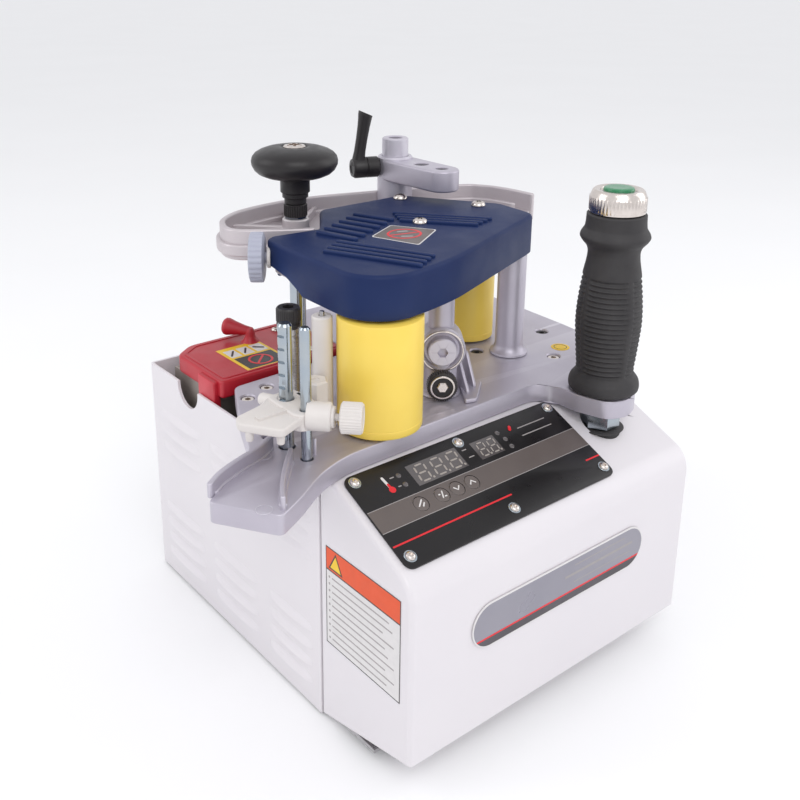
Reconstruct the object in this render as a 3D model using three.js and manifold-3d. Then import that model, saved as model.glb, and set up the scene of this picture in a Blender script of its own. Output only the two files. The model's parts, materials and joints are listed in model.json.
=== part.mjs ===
// Portable edge banding machine: a white sheet-metal casing with a sloped control
// panel, a cast table, two vertical rubber feed rollers, a heated glue pot, a tape
// guide, a cast head with a blue guard, and a trigger handle. Millimetres, +Z up.
// While the machine is laid out, X = 0 is the left side of the casing, Y = 0 its
// front and Z = 0 the bench. The finished group is moved so that the origin lies
// on the bench under the middle of the whole machine.

import * as THREE from 'three';
import { mergeVertices } from 'three/addons/utils/BufferGeometryUtils.js';
import Module from 'manifold-3d';

const wasm = await Module();
wasm.setup();

// ---- driving dimensions -------------------------------------------------------

const GAP = 0.3;                    // clearance between pieces that touch
const FINENESS = 0.68;              // scales the side count of every round piece

const CASING_WIDTH = 235;
const CASING_DEPTH = 284;
const CASING_TOP = 163.3;
const CASING_BOTTOM = 2;
const CASING_WALL = 2;
const CASING_SPLIT = 80;            // Y of the seam between front cover and rear casing
const FRONT_LIFT = 21;              // height of the front cover's lower front edge
const BEND_RADIUS = 18;
const PANEL_TILT = THREE.MathUtils.degToRad(24.6);
const PANEL_BASE_Z = 133.1;         // where the sloped face would meet the front face
const PANEL_SIZE = [165, 63.6, 1.4];
const PANEL_START = [5.2, 9.5];     // lower left corner on the slope

const TABLE_TOP = 175.5;
const TABLE_BOTTOM = CASING_TOP + GAP;
const RIB_HEIGHT = 7.5;

const FRONT_ROLLER = { x: 51, y: 89, radius: 25, bottom: 177, top: 245 };
const REAR_ROLLER = { x: 191, y: 163, radius: 19, bottom: 177, top: 245 };
const GUIDE_ROLLER = { x: 24, y: 108, radius: 6, bottom: 177, top: 244 };
const GLUE_ROLLER = { x: 14, y: 127, radius: 6, bottom: 150, top: 246 };
const GLUE_SHAFT_RADIUS = 3;
const ROLLER_CORE = 14;
const SHAFT_RADIUS = 5;

const GEAR_MODULE = 2;
const FRONT_GEAR_TEETH = 44;
const GLUE_GEAR_TEETH = 9;
const GEAR_BOTTOM = 108;
const GEAR_TOP = 116;
const BELT_BOTTOM = 126;
const BELT_TOP = 134;
const BELT_THICKNESS = 1.6;
const PULLEY_RADIUS = 14;
const MOTOR = { x: 150, y: 100, radius: 30, bottom: 34, top: 116 };

const COVER_BOTTOM = 247;
const COVER_TOP = 273;
const HEAD_FLOOR = [252, 260];
const HEAD_RIM_TOP = 272;
const KNOB_AXIS = { x: 78, y: 212 };
const RIGHT_POST = { x: 192, y: 121.5, radius: 9.5, foot: 13, top: 246.7 };
const LEFT_POST = { x: 42.5, y: 159, radius: 4.9 };
const CLAMP_AXIS = { x: 177, y: 228 };
const CLAMP_ARM = { bottom: 282, top: 297, tipX: 178, tipY: 178 };

const ROD_BACK = { x: -7, y: 99.5, radius: 4, top: 249 };
const ROD_FRONT = { x: -6.5, y: 81, radius: 3, top: 252 };
const BLOCK_Z = [195, 205];          // the block's core around the two rods
const BLOCK_ARM_Z = [198.5, 203.5];

const HANDLE = { x: 194, y: 41 };
const GRIP_Z = [TABLE_TOP + GAP, 290.6];
const RING_Z = [291, 305];

const POT = { x0: 8, x1: 98, y0: 200, y1: 262, bottom: 112, top: 165.5, wall: 3 };
const LID_Z = [166, 178];

const MIDDLE = [98.44, 142.35];         // X and Y of the whole machine's middle

// ---- materials ----------------------------------------------------------------

const finish = (color, roughness, metalness) =>
  new THREE.MeshStandardMaterial({ color, roughness, metalness });

const MATERIALS = {
  casing: finish(0xe9e4ea, 0.45, 0.0),
  castAluminium: finish(0x9b98a6, 0.42, 0.7),
  zinc: finish(0xb4bcc6, 0.25, 0.95),
  steel: finish(0x8e9096, 0.35, 0.9),
  darkSteel: finish(0x4c4648, 0.5, 0.8),
  guardBlue: finish(0x28365f, 0.5, 0.0),
  rollerYellow: finish(0xf2d95c, 0.55, 0.0),
  lidRed: finish(0xb5202e, 0.5, 0.0),
  whiteNylon: finish(0xefe9e4, 0.5, 0.0),
  blackPlastic: finish(0x2b2829, 0.45, 0.0),
  blackRubber: finish(0x353233, 0.75, 0.0),
  greyPlastic: finish(0x8f99ac, 0.5, 0.0),
  panelBlack: finish(0x242225, 0.35, 0.0),
  panelGrey: finish(0x5c5454, 0.4, 0.0),
  buttonGreen: finish(0x1f7a45, 0.4, 0.0),
  boardGreen: finish(0x1d5a35, 0.6, 0.0),
  beltBlack: finish(0x1f1f21, 0.8, 0.0),
};

// ---- solid modelling helpers --------------------------------------------------

function solidOf(geometry) {
  const bare = geometry.clone();
  bare.deleteAttribute('normal');
  bare.deleteAttribute('uv');
  const merged = mergeVertices(bare, 1e-4);
  const corners = merged.index.array;
  const faces = [];
  for (let i = 0; i < corners.length; i += 3) {
    const [a, b, c] = corners.slice(i, i + 3);
    if (a !== b && b !== c && c !== a) {
      faces.push(a, b, c);
    }
  }
  return new wasm.Manifold(new wasm.Mesh({
    numProp: 3,
    vertProperties: new Float32Array(merged.attributes.position.array),
    triVerts: new Uint32Array(faces),
  }));
}

function geometryOf(solid) {
  const mesh = solid.getMesh();
  const geometry = new THREE.BufferGeometry();
  geometry.setAttribute('position', new THREE.BufferAttribute(mesh.vertProperties, 3));
  geometry.setIndex(new THREE.BufferAttribute(mesh.triVerts, 1));
  geometry.computeVertexNormals();
  return geometry;
}

const join = (...solids) => solids.reduce((a, b) => a.add(b));
const cut = (solid, ...tools) => tools.reduce((a, b) => a.subtract(b), solid);

function box(x0, x1, y0, y1, z0, z1) {
  const geometry = new THREE.BoxGeometry(x1 - x0, y1 - y0, z1 - z0);
  geometry.translate((x0 + x1) / 2, (y0 + y1) / 2, (z0 + z1) / 2);
  return solidOf(geometry);
}

const facets = (sides) => Math.max(6, Math.round(sides * FINENESS));

// Upright cylinder or cone.
function post(x, y, z0, z1, radius, sides = 24, topRadius = radius) {
  const geometry = new THREE.CylinderGeometry(topRadius, radius, z1 - z0, facets(sides));
  geometry.rotateX(Math.PI / 2);
  geometry.translate(x, y, (z0 + z1) / 2);
  return solidOf(geometry);
}

// Round bar or cone between two points.
function bar(from, to, radius, sides = 16, endRadius = radius) {
  const a = new THREE.Vector3(...from);
  const b = new THREE.Vector3(...to);
  const along = b.clone().sub(a);
  const geometry = new THREE.CylinderGeometry(endRadius, radius, along.length(), facets(sides));
  const turn = new THREE.Quaternion()
    .setFromUnitVectors(new THREE.Vector3(0, 1, 0), along.clone().normalize());
  geometry.applyQuaternion(turn);
  geometry.translate(...a.add(b).multiplyScalar(0.5).toArray());
  return solidOf(geometry);
}

// Flat outline, given as [x, y] points or as a THREE.Shape, raised from z0 to z1.
function slab(outline, z0, z1, curveSegments = 4) {
  const shape = outline instanceof THREE.Shape
    ? outline
    : new THREE.Shape(outline.map(([x, y]) => new THREE.Vector2(x, y)));
  const geometry = new THREE.ExtrudeGeometry(shape, {
    depth: z1 - z0, bevelEnabled: false, curveSegments,
  });
  geometry.translate(0, 0, z0);
  return solidOf(geometry);
}

// Turned piece: profile holds [radius, z] pairs and starts and ends on the axis.
function turned(x, y, profile, sides = 28) {
  const points = profile.map(([r, z]) => new THREE.Vector2(r, z));
  const geometry = new THREE.LatheGeometry(points, facets(sides));
  geometry.rotateX(Math.PI / 2);
  geometry.translate(x, y, 0);
  const solid = solidOf(geometry);
  return solid.volume() < 0 ? solidOf(flipped(geometry)) : solid;
}

function flipped(geometry) {
  const copy = geometry.clone();
  const order = copy.index.array;
  for (let i = 0; i < order.length; i += 3) {
    [order[i], order[i + 1]] = [order[i + 1], order[i]];
  }
  return copy;
}

// Outline through corner points, each corner rounded by its own radius.
function roundedShape(corners) {
  const shape = new THREE.Shape();
  const count = corners.length;
  corners.forEach(([x, y, radius], i) => {
    const here = new THREE.Vector2(x, y);
    const before = new THREE.Vector2(...corners[(i + count - 1) % count]);
    const after = new THREE.Vector2(...corners[(i + 1) % count]);
    const enter = here.clone().add(before.sub(here).setLength(radius));
    const leave = here.clone().add(after.sub(here).setLength(radius));
    if (i === 0) {
      shape.moveTo(enter.x, enter.y);
    } else {
      shape.lineTo(enter.x, enter.y);
    }
    shape.quadraticCurveTo(here.x, here.y, leave.x, leave.y);
  });
  shape.closePath();
  return shape;
}

// Strip of even width along a path of [x, y] points.
function stripOutline(path, width) {
  const points = path.map(([x, y]) => new THREE.Vector2(x, y));
  const side = (sign) => points.map((p, i) => {
    const a = points[Math.max(i - 1, 0)];
    const b = points[Math.min(i + 1, points.length - 1)];
    const along = b.clone().sub(a).normalize();
    return [p.x - sign * along.y * width / 2, p.y + sign * along.x * width / 2];
  });
  return [...side(-1), ...side(1).reverse()];
}

// Spur gear outline with straight-flanked teeth, turned by a phase angle.
function gearOutline(x, y, teeth, phase) {
  const pitch = GEAR_MODULE * teeth / 2;
  const points = [];
  const flanks = [[-0.3, -1.2], [-0.13, 0.85], [0.13, 0.85], [0.3, -1.2]];
  for (let i = 0; i < teeth; i += 1) {
    for (const [step, height] of flanks) {
      const angle = phase + (i + step) * 2 * Math.PI / teeth;
      const radius = pitch + height * GEAR_MODULE;
      points.push([x + radius * Math.cos(angle), y + radius * Math.sin(angle)]);
    }
  }
  return points;
}

// ---- the machine --------------------------------------------------------------

const machine = new THREE.Group();
machine.name = 'edge_banding_machine';
machine.position.set(-MIDDLE[0], -MIDDLE[1], 0);

function place(name, solid, material, parent = machine) {
  const mesh = new THREE.Mesh(geometryOf(solid), material);
  mesh.name = name;
  parent.add(mesh);
  return mesh;
}

// ---- casing -------------------------------------------------------------------

const LOUVRE_COLUMNS = [[88, 136], [148, 204], [216, 272]];
const LOUVRE_ROWS = [[130, 3], [56, 4]];      // top louvre's height and louvre count
const LOUVRE_PITCH = 12.4;
const INLET = { x: 172, z: 46, width: 28, height: 20 };
const SWITCH = { x: 132, z: 46, width: 13, height: 20 };

function louvres(faceX) {
  const ribs = [];
  for (const [y0, y1] of LOUVRE_COLUMNS) {
    for (const [z, count] of LOUVRE_ROWS) {
      for (let i = 0; i < count; i += 1) {
        const height = z - i * LOUVRE_PITCH;
        ribs.push(bar([faceX, y0, height], [faceX, y1, height], 1.6, 6));
      }
    }
  }
  return join(...ribs);
}

function rearCasing() {
  const outer = box(0, CASING_WIDTH, CASING_SPLIT, CASING_DEPTH, CASING_BOTTOM, CASING_TOP);
  const inner = box(
    CASING_WALL, CASING_WIDTH - CASING_WALL,
    CASING_SPLIT - 5, CASING_DEPTH - CASING_WALL,
    -5, CASING_TOP + 5,
  );
  const notchZ = CASING_TOP - 1.5;
  const notch = join(
    bar([-4, 229.5, notchZ], [4, 229.5, notchZ], 13.5, 24),
    box(-4, 4, 216, 243, notchZ, CASING_TOP + 5),
  );
  const opening = ({ x, z, width, height }) => box(
    x - width / 2, x + width / 2, CASING_DEPTH - 5, CASING_DEPTH + 5,
    z - height / 2, z + height / 2,
  );
  const shell = cut(
    join(outer, louvres(0), louvres(CASING_WIDTH)),
    inner, notch, opening(INLET), opening(SWITCH),
  );
  return shell;
}

// Side outline of the front cover in (Y, Z), drawn a wall thickness further in.
function coverProfile(inset) {
  const tilt = PANEL_TILT;
  const tangent = BEND_RADIUS * Math.tan((Math.PI / 2 - tilt) / 2);
  const centreZ = PANEL_BASE_Z - tangent;
  const radius = BEND_RADIUS - inset;
  const back = inset > 0 ? CASING_SPLIT + 20 : CASING_SPLIT - GAP;
  const below = inset > 0 ? -40 : 0;
  const top = CASING_TOP - inset;
  const slopeZ = (y) => PANEL_BASE_Z - inset / Math.cos(tilt) + y * Math.tan(tilt);
  const crestY = (top - slopeZ(0)) / Math.tan(tilt);
  const shape = new THREE.Shape();
  shape.moveTo(back, CASING_BOTTOM + below);
  shape.lineTo(inset, FRONT_LIFT + below);
  shape.lineTo(inset, centreZ);
  shape.absarc(BEND_RADIUS, centreZ, radius, Math.PI, Math.PI / 2 + tilt, true);
  shape.lineTo(crestY, top);
  shape.lineTo(back, top);
  shape.closePath();
  return shape;
}

function alongX(shape, x0, x1, bevel) {
  const geometry = new THREE.ExtrudeGeometry(shape, {
    depth: x1 - x0 - 2 * bevel,
    bevelEnabled: bevel > 0,
    bevelThickness: bevel,
    bevelSize: bevel,
    bevelOffset: -bevel,
    bevelSegments: 2,
    curveSegments: 5,
  });
  geometry.translate(0, 0, x0 + bevel);
  geometry.applyMatrix4(new THREE.Matrix4().set(
    0, 0, 1, 0,
    1, 0, 0, 0,
    0, 1, 0, 0,
    0, 0, 0, 1,
  ));
  return solidOf(geometry);
}

const slope = new THREE.Group();
slope.position.set(0, 0, PANEL_BASE_Z);
slope.rotation.x = PANEL_TILT;
machine.add(slope);

// A point on the slope, given along X, up the slope and out of it.
function onSlope(x, s, n) {
  return new THREE.Vector3(x, s, n)
    .applyAxisAngle(new THREE.Vector3(1, 0, 0), PANEL_TILT)
    .add(new THREE.Vector3(0, 0, PANEL_BASE_Z))
    .toArray();
}

const BOARD_WINDOW = [14, 162, 20, 68];
const SOCKET_RADIUS = 12.5;
const BADGE = { x0: 43.4, x1: 190.4, z0: 73.4, z1: 101.8 };

function frontCover() {
  const bevel = 3;
  const outer = alongX(coverProfile(0), 0, CASING_WIDTH, bevel);
  const inner = alongX(coverProfile(CASING_WALL), CASING_WALL, CASING_WIDTH - CASING_WALL, 0);
  const [x0, x1, s0, s1] = BOARD_WINDOW;
  const boardWindow = solidOf(
    new THREE.BoxGeometry(x1 - x0, s1 - s0, 12)
      .rotateX(PANEL_TILT)
      .translate(...onSlope((x0 + x1) / 2, (s0 + s1) / 2, 0)),
  );
  const socketHole = post(HANDLE.x, HANDLE.y, 120, 170, SOCKET_RADIUS + GAP, 24);
  const squareBack = box(-5, CASING_WIDTH + 5, CASING_SPLIT - GAP, CASING_SPLIT + 9, -5, 200);
  return cut(outer, inner, boardWindow, socketHole, squareBack);
}

place('rear_casing', rearCasing(), MATERIALS.casing);
place('front_cover', frontCover(), MATERIALS.casing);

const FOOT = { inset: 24, radius: 9, height: 6 };
const PAN_Z = [FOOT.height + GAP, FOOT.height + GAP + 2.5];

place('base_pan', box(
  CASING_WALL + GAP, CASING_WIDTH - CASING_WALL - GAP,
  32, CASING_DEPTH - CASING_WALL - GAP, ...PAN_Z,
), MATERIALS.steel);

const footPlaces = [
  ['front_left', FOOT.inset, 52],
  ['front_right', CASING_WIDTH - FOOT.inset, 52],
  ['rear_left', FOOT.inset, CASING_DEPTH - FOOT.inset],
  ['rear_right', CASING_WIDTH - FOOT.inset, CASING_DEPTH - FOOT.inset],
];
for (const [where, x, y] of footPlaces) {
  place(`foot_${where}`, post(x, y, 0, FOOT.height, FOOT.radius - 1.5, 20, FOOT.radius),
    MATERIALS.blackRubber);
}

// Mains socket and rocker switch in the back wall.
function wallInsert({ x, z, width, height }, depth, flange) {
  const body = box(
    x - width / 2 + GAP, x + width / 2 - GAP, CASING_DEPTH - depth, CASING_DEPTH + 0.5,
    z - height / 2 + GAP, z + height / 2 - GAP,
  );
  const rim = box(
    x - width / 2 - flange, x + width / 2 + flange, CASING_DEPTH + GAP, CASING_DEPTH + 2,
    z - height / 2 - flange, z + height / 2 + flange,
  );
  return join(body, rim);
}

const inletCavity = box(
  INLET.x - 11, INLET.x + 11, CASING_DEPTH - 14, CASING_DEPTH + 5, INLET.z - 7, INLET.z + 7,
);
const inletPins = join(...[-7, 0, 7].map((step) => box(
  INLET.x + step - 1, INLET.x + step + 1, CASING_DEPTH - 15, CASING_DEPTH - 3,
  INLET.z - 2, INLET.z + 2,
)));
place('mains_inlet', join(cut(wallInsert(INLET, 20, 4), inletCavity), inletPins),
  MATERIALS.blackPlastic);

const rockerCavity = box(
  SWITCH.x - 4.5, SWITCH.x + 4.5, CASING_DEPTH - 9, CASING_DEPTH + 5,
  SWITCH.z - 7.5, SWITCH.z + 7.5,
);
place('switch_housing', cut(wallInsert(SWITCH, 18, 2), rockerCavity), MATERIALS.blackPlastic);

const rocker = new THREE.Shape();
rocker.moveTo(-6.6, -1.4);
rocker.lineTo(6.6, -1.4);
rocker.lineTo(6.6, 3.4);
rocker.quadraticCurveTo(0, 1.2, -6.6, 3.4);
rocker.closePath();
place('rocker_switch', solidOf(
  new THREE.ExtrudeGeometry(rocker, { depth: 8, bevelEnabled: false, curveSegments: 6 })
    .translate(0, 0, -4)
    .rotateY(Math.PI / 2)
    .rotateX(Math.PI)
    .translate(SWITCH.x, CASING_DEPTH - 3, SWITCH.z),
), MATERIALS.blackPlastic);

// ---- control panel on the slope -----------------------------------------------

const KEY = { radius: 4.6, top: 1.9, depth: 0.5, travel: 0.4 };
const KEY_X = [38, 53.4, 64.9, 76.4];
const KEY_S = 41.2;

function controlOverlay() {
  const [width, height, thickness] = PANEL_SIZE;
  const [x0, s0] = PANEL_START;
  const corners = [
    [x0, s0, 6], [x0 + width, s0, 6], [x0 + width, s0 + height, 6], [x0, s0 + height, 6],
  ];
  const sheet = slab(roundedShape(corners), GAP, GAP + thickness, 4);
  return cut(sheet, ...KEY_X.map((x) => post(x, KEY_S, -1, 5, KEY.radius + GAP, 20)));
}

place('control_overlay', controlOverlay(), MATERIALS.panelBlack, slope);
KEY_X.forEach((x, i) => {
  place(`membrane_key_${i + 1}`, post(x, KEY_S, KEY.depth, KEY.top, KEY.radius, 20),
    MATERIALS.panelGrey, slope);
});

// Display board under the overlay, with its two digit blocks and key switches.
const digitBlock = (x0, x1) => box(x0, x1, 50, 67, -8, -0.4);
place('display_board', join(
  box(16, 160, 22, 72, -9.6, -8),
  digitBlock(44.5, 83),
  digitBlock(92, 113.5),
  ...KEY_X.map((x) => box(x - 3, x + 3, KEY_S - 3, KEY_S + 3, -8, -0.4)),
), MATERIALS.boardGreen, slope);

function badge() {
  const { x0, x1, z0, z1 } = BADGE;
  const radius = (z1 - z0) / 2;
  const shape = new THREE.Shape();
  shape.absarc(x1 - radius, 0, radius, -Math.PI / 2, Math.PI / 2, false);
  shape.absarc(x0 + radius, 0, radius, Math.PI / 2, 3 * Math.PI / 2, false);
  shape.closePath();
  return solidOf(
    new THREE.ExtrudeGeometry(shape, { depth: 1, bevelEnabled: false, curveSegments: 8 })
      .rotateX(Math.PI / 2)
      .translate(0, -GAP, (z0 + z1) / 2),
  );
}

place('name_badge', badge(), MATERIALS.greyPlastic);

// ---- cast table ---------------------------------------------------------------

const TABLE_OUTLINE = [
  [-72.5, 74, 4], [-50, 40, 4], [-32, 49, 8], [-10, 63, 10], [12, 70, 10],
  [167, 73, 10], [174.5, 60, 6], [174, 46, 4], [180, 25, 6], [194, 20, 6], [209, 26, 6],
  [216, 42, 6], [222, 60, 10], [256, 76, 10], [264, 130, 10], [268, 200, 10],
  [268, 279, 8], [108, 279, 6], [108, 190, 6], [40, 188, 5], [11, 187, 5],
  [-9, 147, 8], [-26, 108, 10], [-42, 94, 6],
];

const FENCE_PATH = [[-70, 77.5], [-57, 86], [-42, 92.2], [-27, 97], [-15, 104]];
const FIN_PATH = [[-46, 45], [-39, 56], [-27, 71], [-15, 84]];
const PLATE_SCREWS = [[176, 136], [240, 134], [211, 97], [28, 175], [9.5, 168]];

function castTable() {
  const plate = slab(roundedShape(TABLE_OUTLINE), TABLE_BOTTOM, TABLE_TOP, 2);
  const fence = slab(stripOutline(FENCE_PATH, 3), TABLE_TOP - 1, TABLE_TOP + RIB_HEIGHT);
  const fin = slab(stripOutline(FIN_PATH, 2.6), TABLE_TOP - 1, TABLE_TOP + RIB_HEIGHT);
  const stopPin = post(-0.5, 82, TABLE_TOP - 1, TABLE_TOP + 10, 1.1, 12);
  const bores = [
    [FRONT_ROLLER.x, FRONT_ROLLER.y, SHAFT_RADIUS + GAP],
    [REAR_ROLLER.x, REAR_ROLLER.y, SHAFT_RADIUS + GAP],
    [GLUE_ROLLER.x, GLUE_ROLLER.y, GLUE_ROLLER.radius + 0.6],
    [GUIDE_ROLLER.x, GUIDE_ROLLER.y, 1.5 + GAP],
    [HANDLE.x, HANDLE.y, 9 + GAP],
    [ROD_BACK.x, ROD_BACK.y, ROD_BACK.radius + GAP],
    [ROD_FRONT.x, ROD_FRONT.y, ROD_FRONT.radius + GAP],
  ].map(([x, y, radius]) => post(x, y, TABLE_BOTTOM - 5, TABLE_TOP + 20, radius, 20));
  const castHole = post(-9, 116, TABLE_BOTTOM - 5, TABLE_TOP + 5, 3.6, 16);
  const sinks = PLATE_SCREWS.map(([x, y]) => post(x, y, TABLE_TOP - 4, TABLE_TOP + 5, 4.4, 16));
  return cut(join(plate, fence, fin, stopPin), ...bores, castHole, ...sinks);
}

place('cast_table', castTable(), MATERIALS.castAluminium);

// ---- rollers and drive --------------------------------------------------------

function sleeve({ x, y, radius, bottom, top }, bore, sides = 40) {
  return cut(
    post(x, y, bottom, top, radius, sides),
    post(x, y, bottom - 5, top + 5, bore + GAP, 24),
  );
}

// Roller core with its stepped shaft, from below the drive up into the head.
function rollerShaft({ x, y, bottom, top }, core, lowerEnd) {
  return join(
    post(x, y, bottom, top, core, 28),
    post(x, y, lowerEnd, HEAD_FLOOR[1] + 3, SHAFT_RADIUS, 20),
  );
}

place('front_roller_sleeve', sleeve(FRONT_ROLLER, ROLLER_CORE), MATERIALS.rollerYellow);
place('front_roller_shaft', rollerShaft(FRONT_ROLLER, ROLLER_CORE, GEAR_BOTTOM - 4),
  MATERIALS.steel);
place('rear_roller_sleeve', sleeve(REAR_ROLLER, ROLLER_CORE - 3), MATERIALS.rollerYellow);
place('rear_roller_shaft', rollerShaft(REAR_ROLLER, ROLLER_CORE - 3, BELT_BOTTOM - 6),
  MATERIALS.steel);

function pulley({ x, y }, bore) {
  const edge = 1.4;
  return cut(
    join(
      post(x, y, BELT_BOTTOM - 2, BELT_TOP + 2, PULLEY_RADIUS, 28),
      post(x, y, BELT_BOTTOM - 3, BELT_BOTTOM - 1.2, PULLEY_RADIUS + edge, 28),
      post(x, y, BELT_TOP + 1.2, BELT_TOP + 3, PULLEY_RADIUS + edge, 28),
    ),
    post(x, y, BELT_BOTTOM - 8, BELT_TOP + 8, bore, 20),
  );
}

place('front_pulley', pulley(FRONT_ROLLER, SHAFT_RADIUS + GAP), MATERIALS.steel);
place('rear_pulley', pulley(REAR_ROLLER, SHAFT_RADIUS + GAP), MATERIALS.steel);
place('motor_pulley', join(
  pulley(MOTOR, SHAFT_RADIUS - 1),
  post(MOTOR.x, MOTOR.y, MOTOR.top - 19, BELT_TOP + 8, SHAFT_RADIUS, 20),
), MATERIALS.steel);

// Closed belt around the three pulleys: the hull of three circles, less a thinner hull.
function beltLoop(radius) {
  const wheels = [FRONT_ROLLER, MOTOR, REAR_ROLLER];
  const points = [];
  wheels.forEach((wheel, i) => {
    const before = wheels[(i + 2) % 3];
    const after = wheels[(i + 1) % 3];
    const normal = (a, b) => Math.atan2(b.y - a.y, b.x - a.x) - Math.PI / 2;
    const start = normal(before, wheel);
    let sweep = normal(wheel, after) - start;
    while (sweep < 0) {
      sweep += 2 * Math.PI;
    }
    const steps = 10;
    for (let n = 0; n <= steps; n += 1) {
      const angle = start + sweep * n / steps;
      points.push([wheel.x + radius * Math.cos(angle), wheel.y + radius * Math.sin(angle)]);
    }
  });
  return points;
}

const beltInner = PULLEY_RADIUS + GAP;
place('drive_belt', cut(
  slab(beltLoop(beltInner + BELT_THICKNESS), BELT_BOTTOM, BELT_TOP),
  slab(beltLoop(beltInner), BELT_BOTTOM - 1, BELT_TOP + 1),
), MATERIALS.beltBlack);

const gearAngle = Math.atan2(GLUE_ROLLER.y - FRONT_ROLLER.y, GLUE_ROLLER.x - FRONT_ROLLER.x);

function spurGear({ x, y }, teeth, phase, bore) {
  return cut(
    slab(gearOutline(x, y, teeth, phase), GEAR_BOTTOM, GEAR_TOP),
    post(x, y, GEAR_BOTTOM - 5, GEAR_TOP + 5, bore + GAP, 20),
  );
}

// The teeth mesh on the line of centres: a tooth of one gear faces a gap of the other.
place('front_gear', spurGear(FRONT_ROLLER, FRONT_GEAR_TEETH, gearAngle, SHAFT_RADIUS),
  MATERIALS.steel);
place('glue_gear', spurGear(
  GLUE_ROLLER, GLUE_GEAR_TEETH, gearAngle + Math.PI + Math.PI / GLUE_GEAR_TEETH,
  GLUE_SHAFT_RADIUS,
), MATERIALS.steel);

place('gearmotor', cut(
  join(
    post(MOTOR.x, MOTOR.y, MOTOR.bottom, MOTOR.top - 26, MOTOR.radius, 28),
    box(MOTOR.x - 34, MOTOR.x + 34, MOTOR.y - 32, MOTOR.y + 36, MOTOR.top - 27, MOTOR.top),
    box(MOTOR.x - 26, MOTOR.x + 26, MOTOR.y - 26, MOTOR.y + 26, PAN_Z[1] + GAP, MOTOR.bottom + 4),
  ),
  post(MOTOR.x, MOTOR.y, MOTOR.top - 20, MOTOR.top + 5, SHAFT_RADIUS + GAP, 20),
), MATERIALS.steel);

// ---- glue unit ----------------------------------------------------------------

place('glue_roller', join(
  post(GLUE_ROLLER.x, GLUE_ROLLER.y, GLUE_ROLLER.bottom, GLUE_ROLLER.top - 12,
    GLUE_ROLLER.radius, 24),
  post(GLUE_ROLLER.x, GLUE_ROLLER.y, GEAR_BOTTOM - 4, GLUE_ROLLER.bottom + 1,
    GLUE_SHAFT_RADIUS, 16),
), MATERIALS.steel);
place('glue_roller_cap', cut(
  post(GLUE_ROLLER.x, GLUE_ROLLER.y, GLUE_ROLLER.top - 12 + GAP, GLUE_ROLLER.top, 7, 24),
  post(GLUE_ROLLER.x, GLUE_ROLLER.y, GLUE_ROLLER.top - 6, GLUE_ROLLER.top + 5, 3.4, 6),
), MATERIALS.blackPlastic);

place('guide_roller', sleeve(GUIDE_ROLLER, 1.5, 24), MATERIALS.whiteNylon);
place('guide_roller_pin',
  post(GUIDE_ROLLER.x, GUIDE_ROLLER.y, TABLE_BOTTOM, COVER_BOTTOM - 1, 1.5, 12),
  MATERIALS.zinc);

place('glue_pot', cut(
  box(POT.x0, POT.x1, POT.y0, POT.y1, POT.bottom, POT.top),
  box(POT.x0 + POT.wall, POT.x1 - POT.wall, POT.y0 + POT.wall, POT.y1 - POT.wall,
    POT.bottom + 4, POT.top + 5),
), MATERIALS.darkSteel);

place('pot_heater', join(
  box(POT.x0 + 8, POT.x1 - 8, POT.y0 + 8, POT.y1 - 8, POT.bottom - 10, POT.bottom - GAP),
  post(POT.x0 + 20, POT.y0 + 20, POT.bottom - 16, POT.bottom - 8, 4, 12),
  post(POT.x1 - 20, POT.y0 + 20, POT.bottom - 16, POT.bottom - 8, 4, 12),
), MATERIALS.steel);

place('pot_support', join(
  box(POT.x0 + 14, POT.x0 + 30, POT.y0 + 24, POT.y1 - 10, PAN_Z[1] + GAP, POT.bottom - 10.5),
  box(POT.x1 - 30, POT.x1 - 14, POT.y0 + 24, POT.y1 - 10, PAN_Z[1] + GAP, POT.bottom - 10.5),
  box(POT.x0 + 14, POT.x1 - 14, POT.y0 + 24, POT.y1 - 10, POT.bottom - 14, POT.bottom - 10.5),
), MATERIALS.steel);

const LID_HINGE = { y: 266, z: 170 };

function potLid() {
  const outline = [
    [5.5, 193, 3], [104, 193, 3], [104, 261, 4], [92, 262.5, 4], [20, 262.5, 5], [5.5, 252, 5],
  ];
  const plate = slab(roundedShape(outline), LID_Z[0], LID_Z[1], 3);
  const tab = box(2.4, 7.6, 198, 219, 156, LID_Z[1] - 3);
  const stem = post(58, 243, LID_Z[1] - 1, 186, 3.4, 12);
  const nose = bar([58, 243, 185.5], [49, 257, 187], 3.2, 16, 6.2);
  const knuckle = bar([40, LID_HINGE.y, LID_HINGE.z], [78, LID_HINGE.y, LID_HINGE.z], 3.6, 16);
  const web = box(42, 76, 260, LID_HINGE.y, LID_HINGE.z - 2, LID_HINGE.z + 2);
  const pinBore = bar(
    [35, LID_HINGE.y, LID_HINGE.z], [85, LID_HINGE.y, LID_HINGE.z], 1.6 + GAP, 12,
  );
  return cut(join(plate, tab, stem, nose, knuckle, web), pinBore);
}

place('pot_lid', potLid(), MATERIALS.lidRed);

function lidHinge() {
  const pin = bar([32, LID_HINGE.y, LID_HINGE.z], [86, LID_HINGE.y, LID_HINGE.z], 1.6, 12);
  const lugs = [[32, 38], [80, 86]].map(([x0, x1]) => join(
    box(x0, x1, LID_HINGE.y - 2.8, LID_HINGE.y + 2.8, 150, LID_HINGE.z),
    bar([x0, LID_HINGE.y, LID_HINGE.z], [x1, LID_HINGE.y, LID_HINGE.z], 3.1, 18),
  ));
  const backPlate = box(32, 86, POT.y1 + GAP, LID_HINGE.y + 1, 140, 160);
  return join(pin, ...lugs, backPlate);
}

place('lid_hinge', lidHinge(), MATERIALS.steel);

// ---- tape cutter beside the front roller --------------------------------------

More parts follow.
